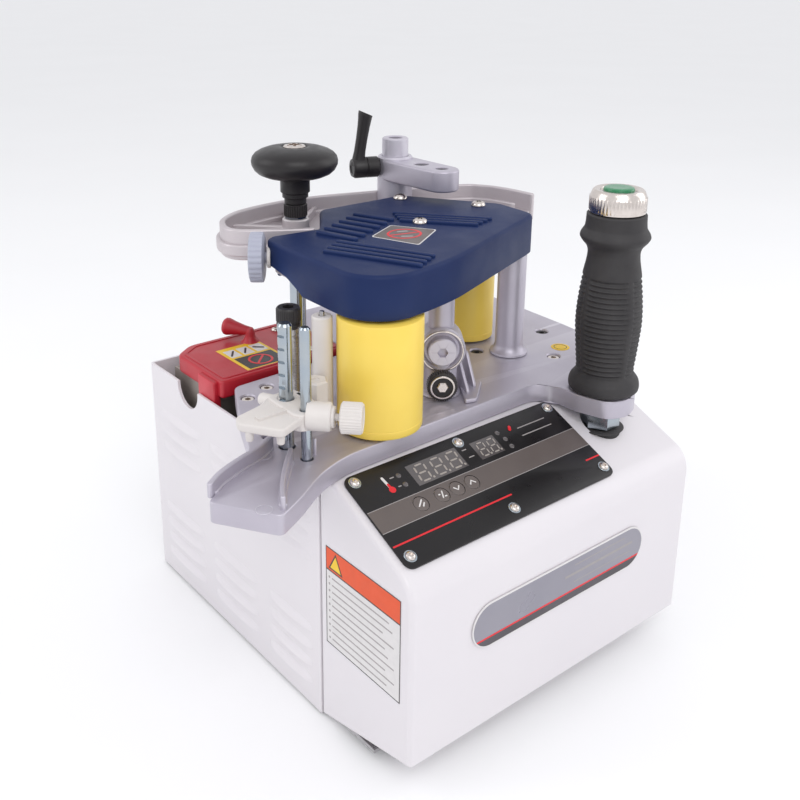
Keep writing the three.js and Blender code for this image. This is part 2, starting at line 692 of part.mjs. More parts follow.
const CUTTER = { x: 110, y: 102, radius: 10.5, neck: 8, facing: [-0.6, -0.8] };
const CUTTER_BOSS = { z: 207, radius: 14.5, face: 10.3, hub: 9, hubFace: 14 };
const TENSION_WHEEL = { z: 185.8, radius: 9.3, from: 10.9, to: 17.9 };

// A point on the cutter's level axis, measured out from the middle of its column.
const atCutter = (reach, z) => [
  CUTTER.x + CUTTER.facing[0] * reach, CUTTER.y + CUTTER.facing[1] * reach, z,
];

const { z: bossZ, radius: bossRadius, face: bossFace, hub, hubFace } = CUTTER_BOSS;
place('cutter_bracket', cut(
  join(
    post(CUTTER.x, CUTTER.y, TABLE_TOP + GAP, 200, CUTTER.radius, 28),
    post(CUTTER.x, CUTTER.y, 199, COVER_BOTTOM - 1, CUTTER.neck, 24),
    bar(atCutter(-8, bossZ), atCutter(bossFace, bossZ), bossRadius, 32),
    bar(atCutter(bossFace - 1, bossZ), atCutter(hubFace, bossZ), hub, 28),
  ),
  bar(atCutter(hubFace - 3, bossZ), atCutter(hubFace + 5, bossZ), 3.4, 6),
  bar(atCutter(4, TENSION_WHEEL.z), atCutter(20, TENSION_WHEEL.z), 2 + GAP, 14),
), MATERIALS.castAluminium);

place('tension_wheel', join(
  bar(atCutter(TENSION_WHEEL.from, TENSION_WHEEL.z), atCutter(TENSION_WHEEL.to, TENSION_WHEEL.z),
    TENSION_WHEEL.radius, 28),
  bar(atCutter(5, TENSION_WHEEL.z), atCutter(TENSION_WHEEL.from + 1, TENSION_WHEEL.z), 2, 14),
), MATERIALS.blackPlastic);

// Thin upright fin that slopes down from its back edge to a tip on the table.
function blade([x, y], [tipX, tipY], z, height) {
  const length = Math.hypot(tipX - x, tipY - y);
  const shape = new THREE.Shape();
  shape.moveTo(0, 0);
  shape.lineTo(length, 0);
  shape.lineTo(length, 2);
  shape.lineTo(4, height);
  shape.lineTo(0, height);
  shape.closePath();
  return solidOf(
    new THREE.ExtrudeGeometry(shape, { depth: 2, bevelEnabled: false })
      .translate(0, 0, -1)
      .rotateX(Math.PI / 2)
      .rotateZ(Math.atan2(tipY - y, tipX - x))
      .translate(x, y, z),
  );
}

const BLADE_FOOT = [[109, 77.6], [117, 75.5], [137, 92], [137, 108.5], [122, 108.5], [122, 96]];

place('tape_blades', join(
  slab(BLADE_FOOT, TABLE_TOP + GAP, TABLE_TOP + 3),
  blade([127, 107], [117.5, 84], TABLE_TOP + 2, 20),
  blade([134, 107], [127.5, 88.5], TABLE_TOP + 2, 20),
), MATERIALS.castAluminium);

// ---- tape guide on its two rods -----------------------------------------------

const RACK_PITCH = 7.5;

function rackRod() {
  const { x, y, radius, top } = ROD_BACK;
  const rod = post(x, y, TABLE_BOTTOM, top, radius, 24);
  const notches = [];
  for (let z = TABLE_TOP + 6; z < top - 6; z += RACK_PITCH) {
    notches.push(box(x - radius - 1, x - radius + 1.2, y - 5, y + 5, z, z + 3));
  }
  return cut(rod, ...notches);
}

place('rack_rod', rackRod(), MATERIALS.zinc);
place('guide_rod',
  post(ROD_FRONT.x, ROD_FRONT.y, TABLE_BOTTOM, ROD_FRONT.top, ROD_FRONT.radius, 20),
  MATERIALS.zinc);

const GUIDE_KNOB = { x: 10, y: 62, z: 202, radius: 8.7, half: 6 };

// A point on the guide knob's axis, which points forward and to the right.
const alongKnob = (reach) => [
  GUIDE_KNOB.x + Math.SQRT1_2 * reach, GUIDE_KNOB.y - Math.SQRT1_2 * reach, GUIDE_KNOB.z,
];

const BLOCK_OUTLINE = [
  [-43, 91, 3], [-40, 99, 4], [-20, 104, 4], [-13, 110, 4], [3, 109, 5],
  [5, 90, 5], [-2, 74, 5], [-14, 76, 4], [-29, 70, 4],
];
const BLOCK_CORE = [[-16, 80, 2], [-15, 108, 4], [3, 109, 5], [5, 90, 5], [-2, 74, 4], [-13, 75, 2]];
const BLOCK_PAD = { x: 12.6, y: 99, radius: 7.4 };
const PRONGS = [[-38, 88], [-27, 75]];

function guideBlock() {
  const [z0, z1] = BLOCK_Z;
  const middle = (z0 + z1) / 2;
  return cut(
    join(
      slab(roundedShape(BLOCK_OUTLINE), ...BLOCK_ARM_Z, 2),
      slab(roundedShape(BLOCK_CORE), z0, z1, 2),
      bar([-9, 104, middle + 1], [-14, 115, middle + 1], 3.6, 16),
      bar(alongKnob(-24), alongKnob(-9), 8, 24),
      box(0, BLOCK_PAD.x, BLOCK_PAD.y - 3, BLOCK_PAD.y + 3, z0 + 2, z1),
      post(BLOCK_PAD.x, BLOCK_PAD.y, z0 + 2, z1 + 6, BLOCK_PAD.radius, 6),
      ...PRONGS.map(([x, y]) => post(x, y, 193, BLOCK_ARM_Z[0] + 1, 2.2, 12)),
    ),
    post(ROD_FRONT.x, ROD_FRONT.y, z0 - 15, z1 + 15, ROD_FRONT.radius + GAP, 20),
    post(ROD_BACK.x, ROD_BACK.y, z0 - 15, z1 + 15, ROD_BACK.radius + GAP, 24),
    bar(alongKnob(-15), alongKnob(5), 2 + GAP, 14),
  );
}

place('guide_block', guideBlock(), MATERIALS.whiteNylon);
place('guide_knob', join(
  bar(alongKnob(-GUIDE_KNOB.half), alongKnob(GUIDE_KNOB.half), GUIDE_KNOB.radius, 24),
  bar(alongKnob(-14), alongKnob(0), 2, 14),
), MATERIALS.whiteNylon);

// ---- blue guard over the rollers ----------------------------------------------

// Corner points of a shape's outline, with doubled points left out.
function outlineOf(shape, divisions) {
  const points = shape.getPoints(divisions);
  return points.filter((p, i) => p.distanceTo(points[(i + 1) % points.length]) > 0.01);
}

// Anticlockwise outline moved inward by an even distance.
function shrunk(points, inset) {
  const count = points.length;
  return points.map((p, i) => {
    const before = p.clone().sub(points[(i + count - 1) % count]).normalize();
    const after = points[(i + 1) % count].clone().sub(p).normalize();
    const inward = new THREE.Vector2(-before.y - after.y, before.x + after.x);
    const scale = inset / (1 + before.dot(after));
    return [p.x + inward.x * scale, p.y + inward.y * scale];
  });
}

const GUARD_WALL = 2.6;
const GUARD_ROUND = { x: 54, y: 95, radius: 27.5 };

function guardShape() {
  const shape = new THREE.Shape();
  shape.moveTo(28, 168);
  shape.lineTo(26.6, 100);
  shape.absarc(GUARD_ROUND.x, GUARD_ROUND.y, GUARD_ROUND.radius, Math.PI, 1.556 * Math.PI, false);
  shape.quadraticCurveTo(85, 71, 104, 77.5);
  shape.lineTo(199, 113.5);
  shape.quadraticCurveTo(206, 116.5, 207, 124);
  shape.lineTo(209, 148);
  shape.quadraticCurveTo(209, 152, 206, 156);
  shape.lineTo(174, 209);
  shape.quadraticCurveTo(171, 214, 166, 214);
  shape.lineTo(99, 214);
  shape.quadraticCurveTo(86, 193, 69, 174);
  shape.lineTo(36, 178);
  shape.closePath();
  return shape;
}

const guardOutline = outlineOf(guardShape(), 5);
const guardInside = (inset) => shrunk(guardOutline, inset);

// Strip along the guard's rear edges where the cast floor passes under its skirt.
const REAR_RELIEF = [
  [66, 178], [72, 170], [102, 206], [165, 206], [199, 141], [218, 146], [182, 224], [92, 224],
];
const GUARD_SCREWS = [[168, 202], [192, 156], [129.6, 145]];
const THUMBWHEEL = { x: 24.5, y: 175.5, z: 262, radius: 15.5, half: 4.5, axis: [0.79, -0.61] };

// The guard's skirt is shorter at its rear left corner: side outline in (Y, Z).
const CORNER_RELIEF = [[125, 240], [135, 249], [150, 255], [166, 257.5], [192, 257.5], [192, 240]];

const atThumbwheel = (reach) => [
  THUMBWHEEL.x + THUMBWHEEL.axis[0] * reach, THUMBWHEEL.y + THUMBWHEEL.axis[1] * reach,
  THUMBWHEEL.z,
];

place('roller_guard', cut(
  slab(guardOutline.map((p) => [p.x, p.y]), COVER_BOTTOM, COVER_TOP),
  slab(guardInside(GUARD_WALL), COVER_BOTTOM - 5, COVER_TOP - 3),
  slab(REAR_RELIEF, COVER_BOTTOM - 5, HEAD_FLOOR[1] + 0.5),
  alongX(new THREE.Shape(CORNER_RELIEF.map(([y, z]) => new THREE.Vector2(y, z))), 20, 40, 0),
  bar(atThumbwheel(5), atThumbwheel(14), 3 + GAP, 16),
), MATERIALS.guardBlue);

place('thumbwheel', join(
  bar(atThumbwheel(-THUMBWHEEL.half), atThumbwheel(THUMBWHEEL.half), THUMBWHEEL.radius, 36),
  bar(atThumbwheel(0), atThumbwheel(9.5), 3, 14),
), MATERIALS.greyPlastic);

// ---- cast head with the tape tray ---------------------------------------------

const TRAY_RIM = [
  [69, 181], [30, 206], [28, 220], [37, 237], [56, 249], [88, 254], [120, 252],
  [163, 240], [231, 216], [250, 187], [252, 162],
];
const TRAY_FRONT = [[203, 148], [165, 207], [101, 207]];
const RIM_WIDTH = 4;
const SPOKES = [[31, 217], [48, 243], [95, 250], [60, 190]];

function castHead() {
  const [z0, z1] = HEAD_FLOOR;
  const hubBoss = post(KNOB_AXIS.x, KNOB_AXIS.y, z0, 271, 9, 28);
  const spokes = SPOKES.map(([x, y]) =>
    slab(stripOutline([[KNOB_AXIS.x, KNOB_AXIS.y], [x, y]], 3), z0 + 1, z1 + 5));
  const body = join(
    slab(guardInside(GUARD_WALL + 1.2), z0, z1),
    slab([...TRAY_RIM, ...TRAY_FRONT], z0, z1),
    slab(stripOutline(TRAY_RIM, RIM_WIDTH), z0, HEAD_RIM_TOP),
    hubBoss,
    ...spokes,
    post(RIGHT_POST.x, RIGHT_POST.y, COVER_BOTTOM, z0 + 1, 7, 20),
    ...GUARD_SCREWS.map(([x, y]) => post(x, y, z1 - 1, COVER_TOP - 3 - GAP, 4.5, 16)),
  );
  const bores = [
    [FRONT_ROLLER.x, FRONT_ROLLER.y, SHAFT_RADIUS + GAP],
    [REAR_ROLLER.x, REAR_ROLLER.y, SHAFT_RADIUS + GAP],
    [KNOB_AXIS.x, KNOB_AXIS.y, 4 + GAP],
  ].map(([x, y, radius]) => post(x, y, z0 - 8, HEAD_RIM_TOP + 5, radius, 20));
  const clampRoom = post(CLAMP_AXIS.x, CLAMP_AXIS.y, z1, HEAD_RIM_TOP + 5, 13.2, 32);
  return cut(body, ...bores, clampRoom);
}

place('head_casting', castHead(), MATERIALS.castAluminium);

place('right_post', join(
  post(RIGHT_POST.x, RIGHT_POST.y, TABLE_TOP + 1, RIGHT_POST.top, RIGHT_POST.radius, 28),
  turned(RIGHT_POST.x, RIGHT_POST.y, [
    [0, TABLE_TOP + GAP], [RIGHT_POST.foot, TABLE_TOP + GAP], [RIGHT_POST.foot, TABLE_TOP + 2],
    [RIGHT_POST.radius, TABLE_TOP + 6], [0, TABLE_TOP + 6],
  ]),
), MATERIALS.castAluminium);
place('left_post',
  post(LEFT_POST.x, LEFT_POST.y, TABLE_TOP + GAP, HEAD_FLOOR[0] - GAP, LEFT_POST.radius, 20),
  MATERIALS.zinc);

// ---- tape reel knob -----------------------------------------------------------

place('knob_spindle', join(
  post(KNOB_AXIS.x, KNOB_AXIS.y, 245, 292, 4, 20),
  post(KNOB_AXIS.x, KNOB_AXIS.y, 271.3, 280.7, 7.6, 28),
  post(KNOB_AXIS.x, KNOB_AXIS.y, 245, HEAD_FLOOR[0] - GAP, 7, 6),
), MATERIALS.zinc);

const KNOB_PROFILE = [
  [0, 281], [7.3, 281], [7.3, 288], [9.8, 290], [9.8, 298], [20, 299], [26, 303],
  [28.5, 309.7], [26.5, 314], [20, 317.5], [12, 319], [0, 319],
];

place('reel_knob', cut(
  turned(KNOB_AXIS.x, KNOB_AXIS.y, KNOB_PROFILE, 36),
  post(KNOB_AXIS.x, KNOB_AXIS.y, 275, 292.3, 4 + GAP, 20),
), MATERIALS.blackPlastic);

// ---- clamp post, arm and lever ------------------------------------------------

const CLAMP_TUBE_RADIUS = 9.5;
const CLAMP_BOSS_RADIUS = 12.8;
const LEVER = { axis: [-0.94, 0.342], z: 291.5, hub: 7.5, start: 13.3, end: 33 };

// A point on the lever's axis, which points out of the clamp boss to the left.
const atLever = (reach, rise = 0) => [
  CLAMP_AXIS.x + LEVER.axis[0] * reach, CLAMP_AXIS.y + LEVER.axis[1] * reach, LEVER.z + rise,
];

place('clamp_tube', cut(
  post(CLAMP_AXIS.x, CLAMP_AXIS.y, HEAD_FLOOR[1] + GAP, 312, CLAMP_TUBE_RADIUS, 32),
  post(CLAMP_AXIS.x, CLAMP_AXIS.y, 300, 315, 6.2, 24),
), MATERIALS.castAluminium);

function clampArm() {
  const { bottom, top, tipX, tipY } = CLAMP_ARM;
  const { x, y } = CLAMP_AXIS;
  const shape = new THREE.Shape();
  shape.absarc(x, y, CLAMP_BOSS_RADIUS, 0, Math.PI, false);
  shape.absarc(tipX, tipY, 11.5, Math.PI, 2 * Math.PI, false);
  shape.closePath();
  return cut(
    join(
      slab(shape, bottom, top, 8),
      post(x, y, HEAD_FLOOR[1] + 1, top + 2, CLAMP_BOSS_RADIUS, 32),
      bar(atLever(8), atLever(LEVER.start - GAP), 6, 20),
    ),
    post(x, y, HEAD_FLOOR[1] - 5, top + 10, CLAMP_TUBE_RADIUS + GAP, 32),
    post(tipX, tipY + 1, top - 7, top + 5, 4.6, 20),
    post(tipX - 1, tipY + 21, top - 7, top + 5, 5.2, 20),
    bar(atLever(5), atLever(20), 3 + GAP, 14),
  );
}

place('clamp_arm', clampArm(), MATERIALS.castAluminium);

place('clamp_lever', join(
  bar(atLever(LEVER.start), atLever(LEVER.end), LEVER.hub, 24),
  bar(atLever(CLAMP_TUBE_RADIUS + 0.7), atLever(LEVER.start + 1), 3, 14),
  bar(atLever(28.5, 3), atLever(22.5, 38), 4.4, 16, 4.8),
  bar(atLever(22.8, 36), atLever(21.6, 42.2), 5.4, 16, 4.6),
), MATERIALS.blackPlastic);

// ---- handle with the feed button ----------------------------------------------

const HANDLE_TUBE_RADIUS = 9;
const NUT_Z = [151, 163.2];
const GROMMET_Z = [140, 150.6];
const GRIP_PROFILE = [
  [17.5, 0], [21.5, 2.2], [21.3, 8], [18, 13.2], [18.6, 24], [19.8, 38], [20.3, 47.2],
  [19.6, 60], [17.6, 77], [15.7, 88.9], [16.6, 94], [20.4, 99], [20.8, 101.5], [18.4, 106],
  [17.8, 114.8],
];

place('handle_tube', cut(
  join(
    post(HANDLE.x, HANDLE.y, GROMMET_Z[0], GRIP_Z[1] - 0.6, HANDLE_TUBE_RADIUS, 28),
    post(HANDLE.x, HANDLE.y, ...NUT_Z, 12, 6),
  ),
  post(HANDLE.x, HANDLE.y, GROMMET_Z[0] - 5, GRIP_Z[1] + 5, HANDLE_TUBE_RADIUS - 2.5, 24),
), MATERIALS.zinc);

place('handle_grip', cut(
  turned(HANDLE.x, HANDLE.y, [
    [0, GRIP_Z[0]],
    ...GRIP_PROFILE.map(([radius, rise]) => [radius, GRIP_Z[0] + rise]),
    [0, GRIP_Z[0] + GRIP_PROFILE.at(-1)[1]],
  ], 32),
  post(HANDLE.x, HANDLE.y, GRIP_Z[0] - 5, GRIP_Z[1] + 5, HANDLE_TUBE_RADIUS + GAP, 28),
), MATERIALS.blackRubber);

const BUTTON = { radius: 9.2, bottom: 297, top: 306.2, travel: 3 };

place('button_bezel', cut(
  turned(HANDLE.x, HANDLE.y, [
    [0, RING_Z[0]], [16.4, RING_Z[0]], [17, RING_Z[0] + 1], [17, RING_Z[1] - 2],
    [15, RING_Z[1]], [0, RING_Z[1]],
  ], 36),
  post(HANDLE.x, HANDLE.y, BUTTON.bottom - BUTTON.travel - GAP, RING_Z[1] + 5,
    BUTTON.radius + GAP, 32),
  post(HANDLE.x, HANDLE.y, RING_Z[0] - 5, RING_Z[1] + 5, 3.5, 20),
), MATERIALS.zinc);

place('feed_button', join(
  turned(HANDLE.x, HANDLE.y, [
    [0, BUTTON.bottom], [BUTTON.radius, BUTTON.bottom], [BUTTON.radius, BUTTON.top - 0.8],
    [BUTTON.radius - 0.8, BUTTON.top], [0, BUTTON.top],
  ]),
  post(HANDLE.x, HANDLE.y, RING_Z[0] - 2, BUTTON.bottom + 1, 3, 14),
), MATERIALS.buttonGreen);

place('handle_grommet', cut(
  post(HANDLE.x, HANDLE.y, ...GROMMET_Z, SOCKET_RADIUS, 28),
  post(HANDLE.x, HANDLE.y, GROMMET_Z[0] - 5, GROMMET_Z[1] + 5, HANDLE_TUBE_RADIUS + GAP, 28),
), MATERIALS.blackRubber);

export default machine;
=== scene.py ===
import json
import math
import random

import bmesh
import bpy
from mathutils import Matrix, Vector


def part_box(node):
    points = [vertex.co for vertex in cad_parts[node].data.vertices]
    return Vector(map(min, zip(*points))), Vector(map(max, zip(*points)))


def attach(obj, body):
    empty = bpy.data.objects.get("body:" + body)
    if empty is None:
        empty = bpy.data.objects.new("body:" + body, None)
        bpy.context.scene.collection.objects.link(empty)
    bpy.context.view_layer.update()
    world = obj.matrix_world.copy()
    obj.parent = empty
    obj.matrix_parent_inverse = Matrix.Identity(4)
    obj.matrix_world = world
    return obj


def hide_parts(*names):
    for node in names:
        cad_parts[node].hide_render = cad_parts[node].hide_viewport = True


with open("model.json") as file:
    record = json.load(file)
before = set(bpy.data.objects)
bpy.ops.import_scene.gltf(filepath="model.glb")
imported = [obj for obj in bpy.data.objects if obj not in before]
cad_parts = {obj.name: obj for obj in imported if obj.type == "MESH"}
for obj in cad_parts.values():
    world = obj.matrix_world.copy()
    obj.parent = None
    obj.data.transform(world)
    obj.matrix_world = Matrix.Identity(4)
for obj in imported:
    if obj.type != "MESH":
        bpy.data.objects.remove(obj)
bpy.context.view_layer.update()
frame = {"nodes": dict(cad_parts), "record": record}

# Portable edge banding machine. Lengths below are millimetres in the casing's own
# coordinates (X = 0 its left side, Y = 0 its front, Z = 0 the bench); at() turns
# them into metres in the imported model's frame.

random.seed(7)

MM = 0.001
UP = (0, 0, 1)
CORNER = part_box("front_cover")[0]


def at(x, y, z):
    return Vector((CORNER.x + x * MM, CORNER.y + y * MM, z * MM))


def placed(name, data):
    """Object with the given data, linked into the scene."""
    obj = bpy.data.objects.new(name, data)
    bpy.context.scene.collection.objects.link(obj)
    return obj


def mesh_from(name, bm):
    """Mesh made from a bmesh, which is freed."""
    mesh = bpy.data.meshes.new(name)
    bm.to_mesh(mesh)
    bm.free()
    return mesh


def final_shape(obj):
    """Bmesh of an object with its modifiers or bevel worked out."""
    bpy.context.view_layer.update()
    mesh = bpy.data.meshes.new_from_object(
        obj.evaluated_get(bpy.context.evaluated_depsgraph_get()))
    bm = bmesh.new()
    bm.from_mesh(mesh)
    bpy.data.meshes.remove(mesh)
    return bm


# ---- procedural materials ----

def surface(name, color, roughness, metallic=0.0, second=None, mottle=45.0, spread=0.5,
            rough_spread=0.1, grain=900.0, bump=0.15, depth=0.0001, coat=0.0, wear=None,
            stretch=(1, 1, 1), specular=0.5):
    """A paint, metal, rubber or plastic finish: two tones, uneven gloss and a fine grain."""
    mat = bpy.data.materials.new(name)
    mat.use_nodes = True
    tree = mat.node_tree
    nodes, links = tree.nodes, tree.links
    shader = nodes["Principled BSDF"]
    shader.inputs["Metallic"].default_value = metallic
    shader.inputs["Coat Weight"].default_value = coat
    shader.inputs["Coat Roughness"].default_value = 0.12
    shader.inputs["Specular IOR Level"].default_value = specular
    place = nodes.new("ShaderNodeTexCoord")
    scale = nodes.new("ShaderNodeMapping")
    scale.inputs["Scale"].default_value = stretch
    links.new(place.outputs["Object"], scale.inputs["Vector"])

    def noise(size, detail):
        node = nodes.new("ShaderNodeTexNoise")
        node.inputs["Scale"].default_value = size
        node.inputs["Detail"].default_value = detail
        links.new(scale.outputs["Vector"], node.inputs["Vector"])
        return node.outputs["Fac"]

    def spread_of(value, low, high, to_low, to_high):
        node = nodes.new("ShaderNodeMapRange")
        for socket, number in (("From Min", low), ("From Max", high),
                               ("To Min", to_low), ("To Max", to_high)):
            node.inputs[socket].default_value = number
        links.new(value, node.inputs["Value"])
        return node.outputs["Result"]

    def blend(factor, first, other):
        node = nodes.new("ShaderNodeMix")
        node.data_type = "RGBA"
        links.new(factor, node.inputs["Factor"])
        for socket, value in ((6, first), (7, other)):
            if isinstance(value, tuple):
                node.inputs[socket].default_value = (*value, 1)
            else:
                links.new(value, node.inputs[socket])
        return node.outputs[2]

    other = second or tuple(c * 0.9 for c in color)
    tone = blend(spread_of(noise(mottle, 5), 0.35, 0.65, 0, spread), color, other)
    if wear:
        edges = nodes.new("ShaderNodeNewGeometry").outputs["Pointiness"]
        tone = blend(spread_of(edges, 0.53, 0.6, 0, 0.7), tone, wear)
    links.new(tone, shader.inputs["Base Color"])
    gloss = spread_of(noise(mottle * 2.3, 4), 0.3, 0.7,
                      roughness - rough_spread / 2, roughness + rough_spread / 2)
    links.new(gloss, shader.inputs["Roughness"])
    relief = nodes.new("ShaderNodeBump")
    relief.inputs["Strength"].default_value = bump
    relief.inputs["Distance"].default_value = depth
    links.new(noise(grain, 3), relief.inputs["Height"])
    links.new(relief.outputs["Normal"], shader.inputs["Normal"])
    return mat


PAINT = surface("casing_white", (0.72, 0.69, 0.715), 0.38, second=(0.69, 0.66, 0.695),
                mottle=9, grain=1500, bump=0.12, coat=0.1)
CAST = surface("cast_lilac_grey", (0.52, 0.49, 0.56), 0.40, 0.5, second=(0.45, 0.42, 0.49),
               mottle=30, grain=700, bump=0.35, depth=0.00012, wear=(0.72, 0.70, 0.76))
TRAY_CAST = surface("cast_warm_grey", (0.58, 0.53, 0.55), 0.42, 0.45,
                    second=(0.48, 0.44, 0.46), mottle=26, grain=600, bump=0.4,
                    depth=0.00015, wear=(0.74, 0.71, 0.71))
ZINC = surface("bright_zinc", (0.42, 0.46, 0.49), 0.17, 1.0, second=(0.35, 0.41, 0.48),
               mottle=120, grain=1800, bump=0.06, rough_spread=0.08)
STEEL = surface("turned_steel", (0.50, 0.49, 0.50), 0.30, 1.0, second=(0.40, 0.39, 0.40),
                mottle=70, grain=1400, bump=0.12, stretch=(1, 1, 12))
NICKEL = surface("nickel_screw", (0.72, 0.66, 0.62), 0.22, 1.0, second=(0.60, 0.54, 0.50),
                 mottle=260, grain=2500, bump=0.08)
# Near-black painted shade of recesses, put on the screw heads and the plug that sit sunk in counterbores
# and bores.
RECESS_SHADE = surface("painted_recess_shade", (0.028, 0.026, 0.028), 0.55, second=(0.05, 0.045, 0.045),
               mottle=160, bump=0.2)
POT_IRON = surface("glue_pot_plate", (0.19, 0.16, 0.15), 0.5, 0.7, second=(0.27, 0.22, 0.19),
                   mottle=34, spread=0.9, grain=500, bump=0.4, wear=(0.40, 0.36, 0.33))
BLUE = surface("guard_navy", (0.0065, 0.018, 0.080), 0.5, second=(0.009, 0.024, 0.098),
               mottle=22, grain=2300, bump=0.6, depth=0.00014, wear=(0.025, 0.05, 0.16),
               specular=0.22)
YELLOW = surface("roller_yellow", (0.90, 0.66, 0.115), 0.42, second=(0.86, 0.60, 0.085),
                 mottle=38, grain=1100, bump=0.12, depth=0.0001, coat=0.1)
RED = surface("lid_crimson", (0.46, 0.012, 0.026), 0.44, second=(0.36, 0.008, 0.020),
              mottle=36, grain=900, bump=0.3, depth=0.00012, coat=0.1, wear=(0.58, 0.05, 0.07))
NYLON = surface("white_nylon", (0.70, 0.66, 0.635), 0.45, second=(0.65, 0.61, 0.585),
                mottle=60, grain=1300, bump=0.15)
BLACK = surface("black_moulding", (0.014, 0.012, 0.013), 0.38, second=(0.022, 0.019, 0.020),
                mottle=70, grain=1700, bump=0.25, wear=(0.04, 0.036, 0.037), specular=0.4)
RUBBER = surface("black_rubber", (0.024, 0.022, 0.024), 0.62, second=(0.036, 0.033, 0.034),
                 mottle=80, grain=1600, bump=0.4, wear=(0.06, 0.056, 0.056))
GREY = surface("thumbwheel_grey", (0.40, 0.41, 0.50), 0.46, second=(0.35, 0.36, 0.45),
               mottle=80, grain=1500, bump=0.2, wear=(0.42, 0.46, 0.53))
GREEN = surface("button_green", (0.012, 0.22, 0.085), 0.30, second=(0.01, 0.17, 0.065),
                mottle=140, grain=1500, bump=0.08, coat=0.4)
FILM = surface("panel_black_film", (0.010, 0.009, 0.010), 0.30, second=(0.014, 0.012, 0.013),
               mottle=60, grain=3000, bump=0.18, depth=0.00005, rough_spread=0.06,
               specular=0.35)
FILM_GREY = surface("panel_grey_film", (0.120, 0.098, 0.092), 0.36, second=(0.10, 0.082, 0.078),
                    mottle=40, grain=3000, bump=0.2, depth=0.00005)
KEY_FILM = surface("key_grey_film", (0.135, 0.112, 0.106), 0.34, second=(0.115, 0.094, 0.088),
                   mottle=160, grain=3000, bump=0.2, depth=0.00005)
WINDOW = surface("display_window", (0.10, 0.088, 0.090), 0.14, second=(0.075, 0.066, 0.068),
                 mottle=90, grain=2500, bump=0.03, coat=0.5)
DIGIT = surface("digit_segment", (0.36, 0.325, 0.30), 0.35, second=(0.31, 0.28, 0.26),
                mottle=400, grain=2500, bump=0.05)
PRINT_WHITE = surface("print_white", (0.70, 0.68, 0.68), 0.45, mottle=300, grain=2500, bump=0.1)
PRINT_GREY = surface("print_pale_grey", (0.34, 0.315, 0.315), 0.45, mottle=300, bump=0.1)
PRINT_RED = surface("print_red", (0.72, 0.012, 0.022), 0.4, mottle=250, bump=0.1)
PRINT_ORANGE = surface("print_orange", (0.76, 0.082, 0.012), 0.42, mottle=140, bump=0.1)
PRINT_YELLOW = surface("print_yellow", (0.86, 0.56, 0.02), 0.42, mottle=200, bump=0.1)
PRINT_BLACK = surface("print_black", (0.02, 0.018, 0.02), 0.4, mottle=200, bump=0.1)
BADGE_LILAC = surface("badge_lilac", (0.31, 0.30, 0.345), 0.32, 0.35,
                      second=(0.27, 0.262, 0.31), mottle=14, spread=1.0, grain=2600, bump=0.06)
BADGE_BLACK = surface("badge_black", (0.05, 0.043, 0.052), 0.32, second=(0.085, 0.075, 0.088),
                      mottle=20, spread=0.8, grain=2600, bump=0.06)
BOARD = surface("circuit_board", (0.02, 0.12, 0.045), 0.45, mottle=200, bump=0.2)
BELT = surface("belt_rubber", (0.02, 0.02, 0.021), 0.7, mottle=150, bump=0.4)


# ---- piece helpers ----

def soften(bm, angle=34):
    """Smooth shading, with the edges sharper than the angle kept crisp."""
    bmesh.ops.recalc_face_normals(bm, faces=bm.faces)
    limit = math.radians(angle)
    for face in bm.faces:
        face.smooth = True
    for edge in bm.edges:
        edge.smooth = len(edge.link_faces) == 2 and edge.calc_face_angle(0) < limit


def piece(name, bm, mat, body="machine", node=None, angle=34):
    """Piece that rides on a body; for a CAD node it hides the node."""
    soften(bm, angle)
    obj = placed(name, mesh_from(name, bm))
    obj.data.materials.append(mat)
    if node:
        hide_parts(node)
    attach(obj, body)


def join(*parts):
    """One bmesh that holds every part."""
    whole = bmesh.new()
    for part in parts:
        mesh = mesh_from("part", part)
        whole.from_mesh(mesh)
        bpy.data.meshes.remove(mesh)
    return whole


def turned(base, axis, profile, sides=72, ripple=None):
    """Turned shape about an axis through base: profile holds (radius, height) in mm."""
    bm = bmesh.new()
    axis = Vector(axis).normalized()
    side = Vector((1, 0, 0)) if abs(axis.z) > 0.9 else axis.cross(Vector(UP)).normalized()
    third = axis.cross(side)
    rows = []
    for radius, height in profile:
        centre = base + axis * height * MM
        if radius < 1e-6:
            rows.append([bm.verts.new(centre)])
            continue
        ring = []
        for i in range(sides):
            turn = 2 * math.pi * i / sides
            reach = radius + (ripple(turn, radius, height) if ripple else 0)
            ring.append(bm.verts.new(
                centre + (side * math.cos(turn) + third * math.sin(turn)) * reach * MM))
        rows.append(ring)
    for low, high in zip(rows, rows[1:]):
        if len(low) == 1 and len(high) == 1:
            continue
        for i in range(sides):
            n = (i + 1) % sides
            corners = [low[i % len(low)], low[n % len(low)],
                       high[n % len(high)], high[i % len(high)]]
            bm.faces.new(list(dict.fromkeys(corners)))
    return bm


def knurl(depth, count, beyond):
    """Ripple of even flutes on the part of a turned shape beyond a radius."""
    return lambda turn, radius, height: depth * math.cos(turn * count) if radius > beyond else 0


def upright(x, y, profile, sides=72, ripple=None):
    """Turned shape that stands at (x, y)."""
    return turned(at(x, y, 0), UP, profile, sides, ripple)


def peg(base, axis, radius, z0, z1, sides=6):
    """Plain prism, six-sided for a socket."""
    return turned(base, axis, [(0, z0), (radius, z0), (radius, z1), (0, z1)], sides)


def rod(base, axis, radius, z0, z1, edge=0.4, sides=48):
    """Solid round bar with rounded rims."""
    return turned(base, axis, [
        (0, z0), (radius - edge, z0), (radius - edge * 0.3, z0 + edge * 0.3), (radius, z0 + edge),
        (radius, z1 - edge), (radius - edge * 0.3, z1 - edge * 0.3), (radius - edge, z1), (0, z1),
    ], sides)


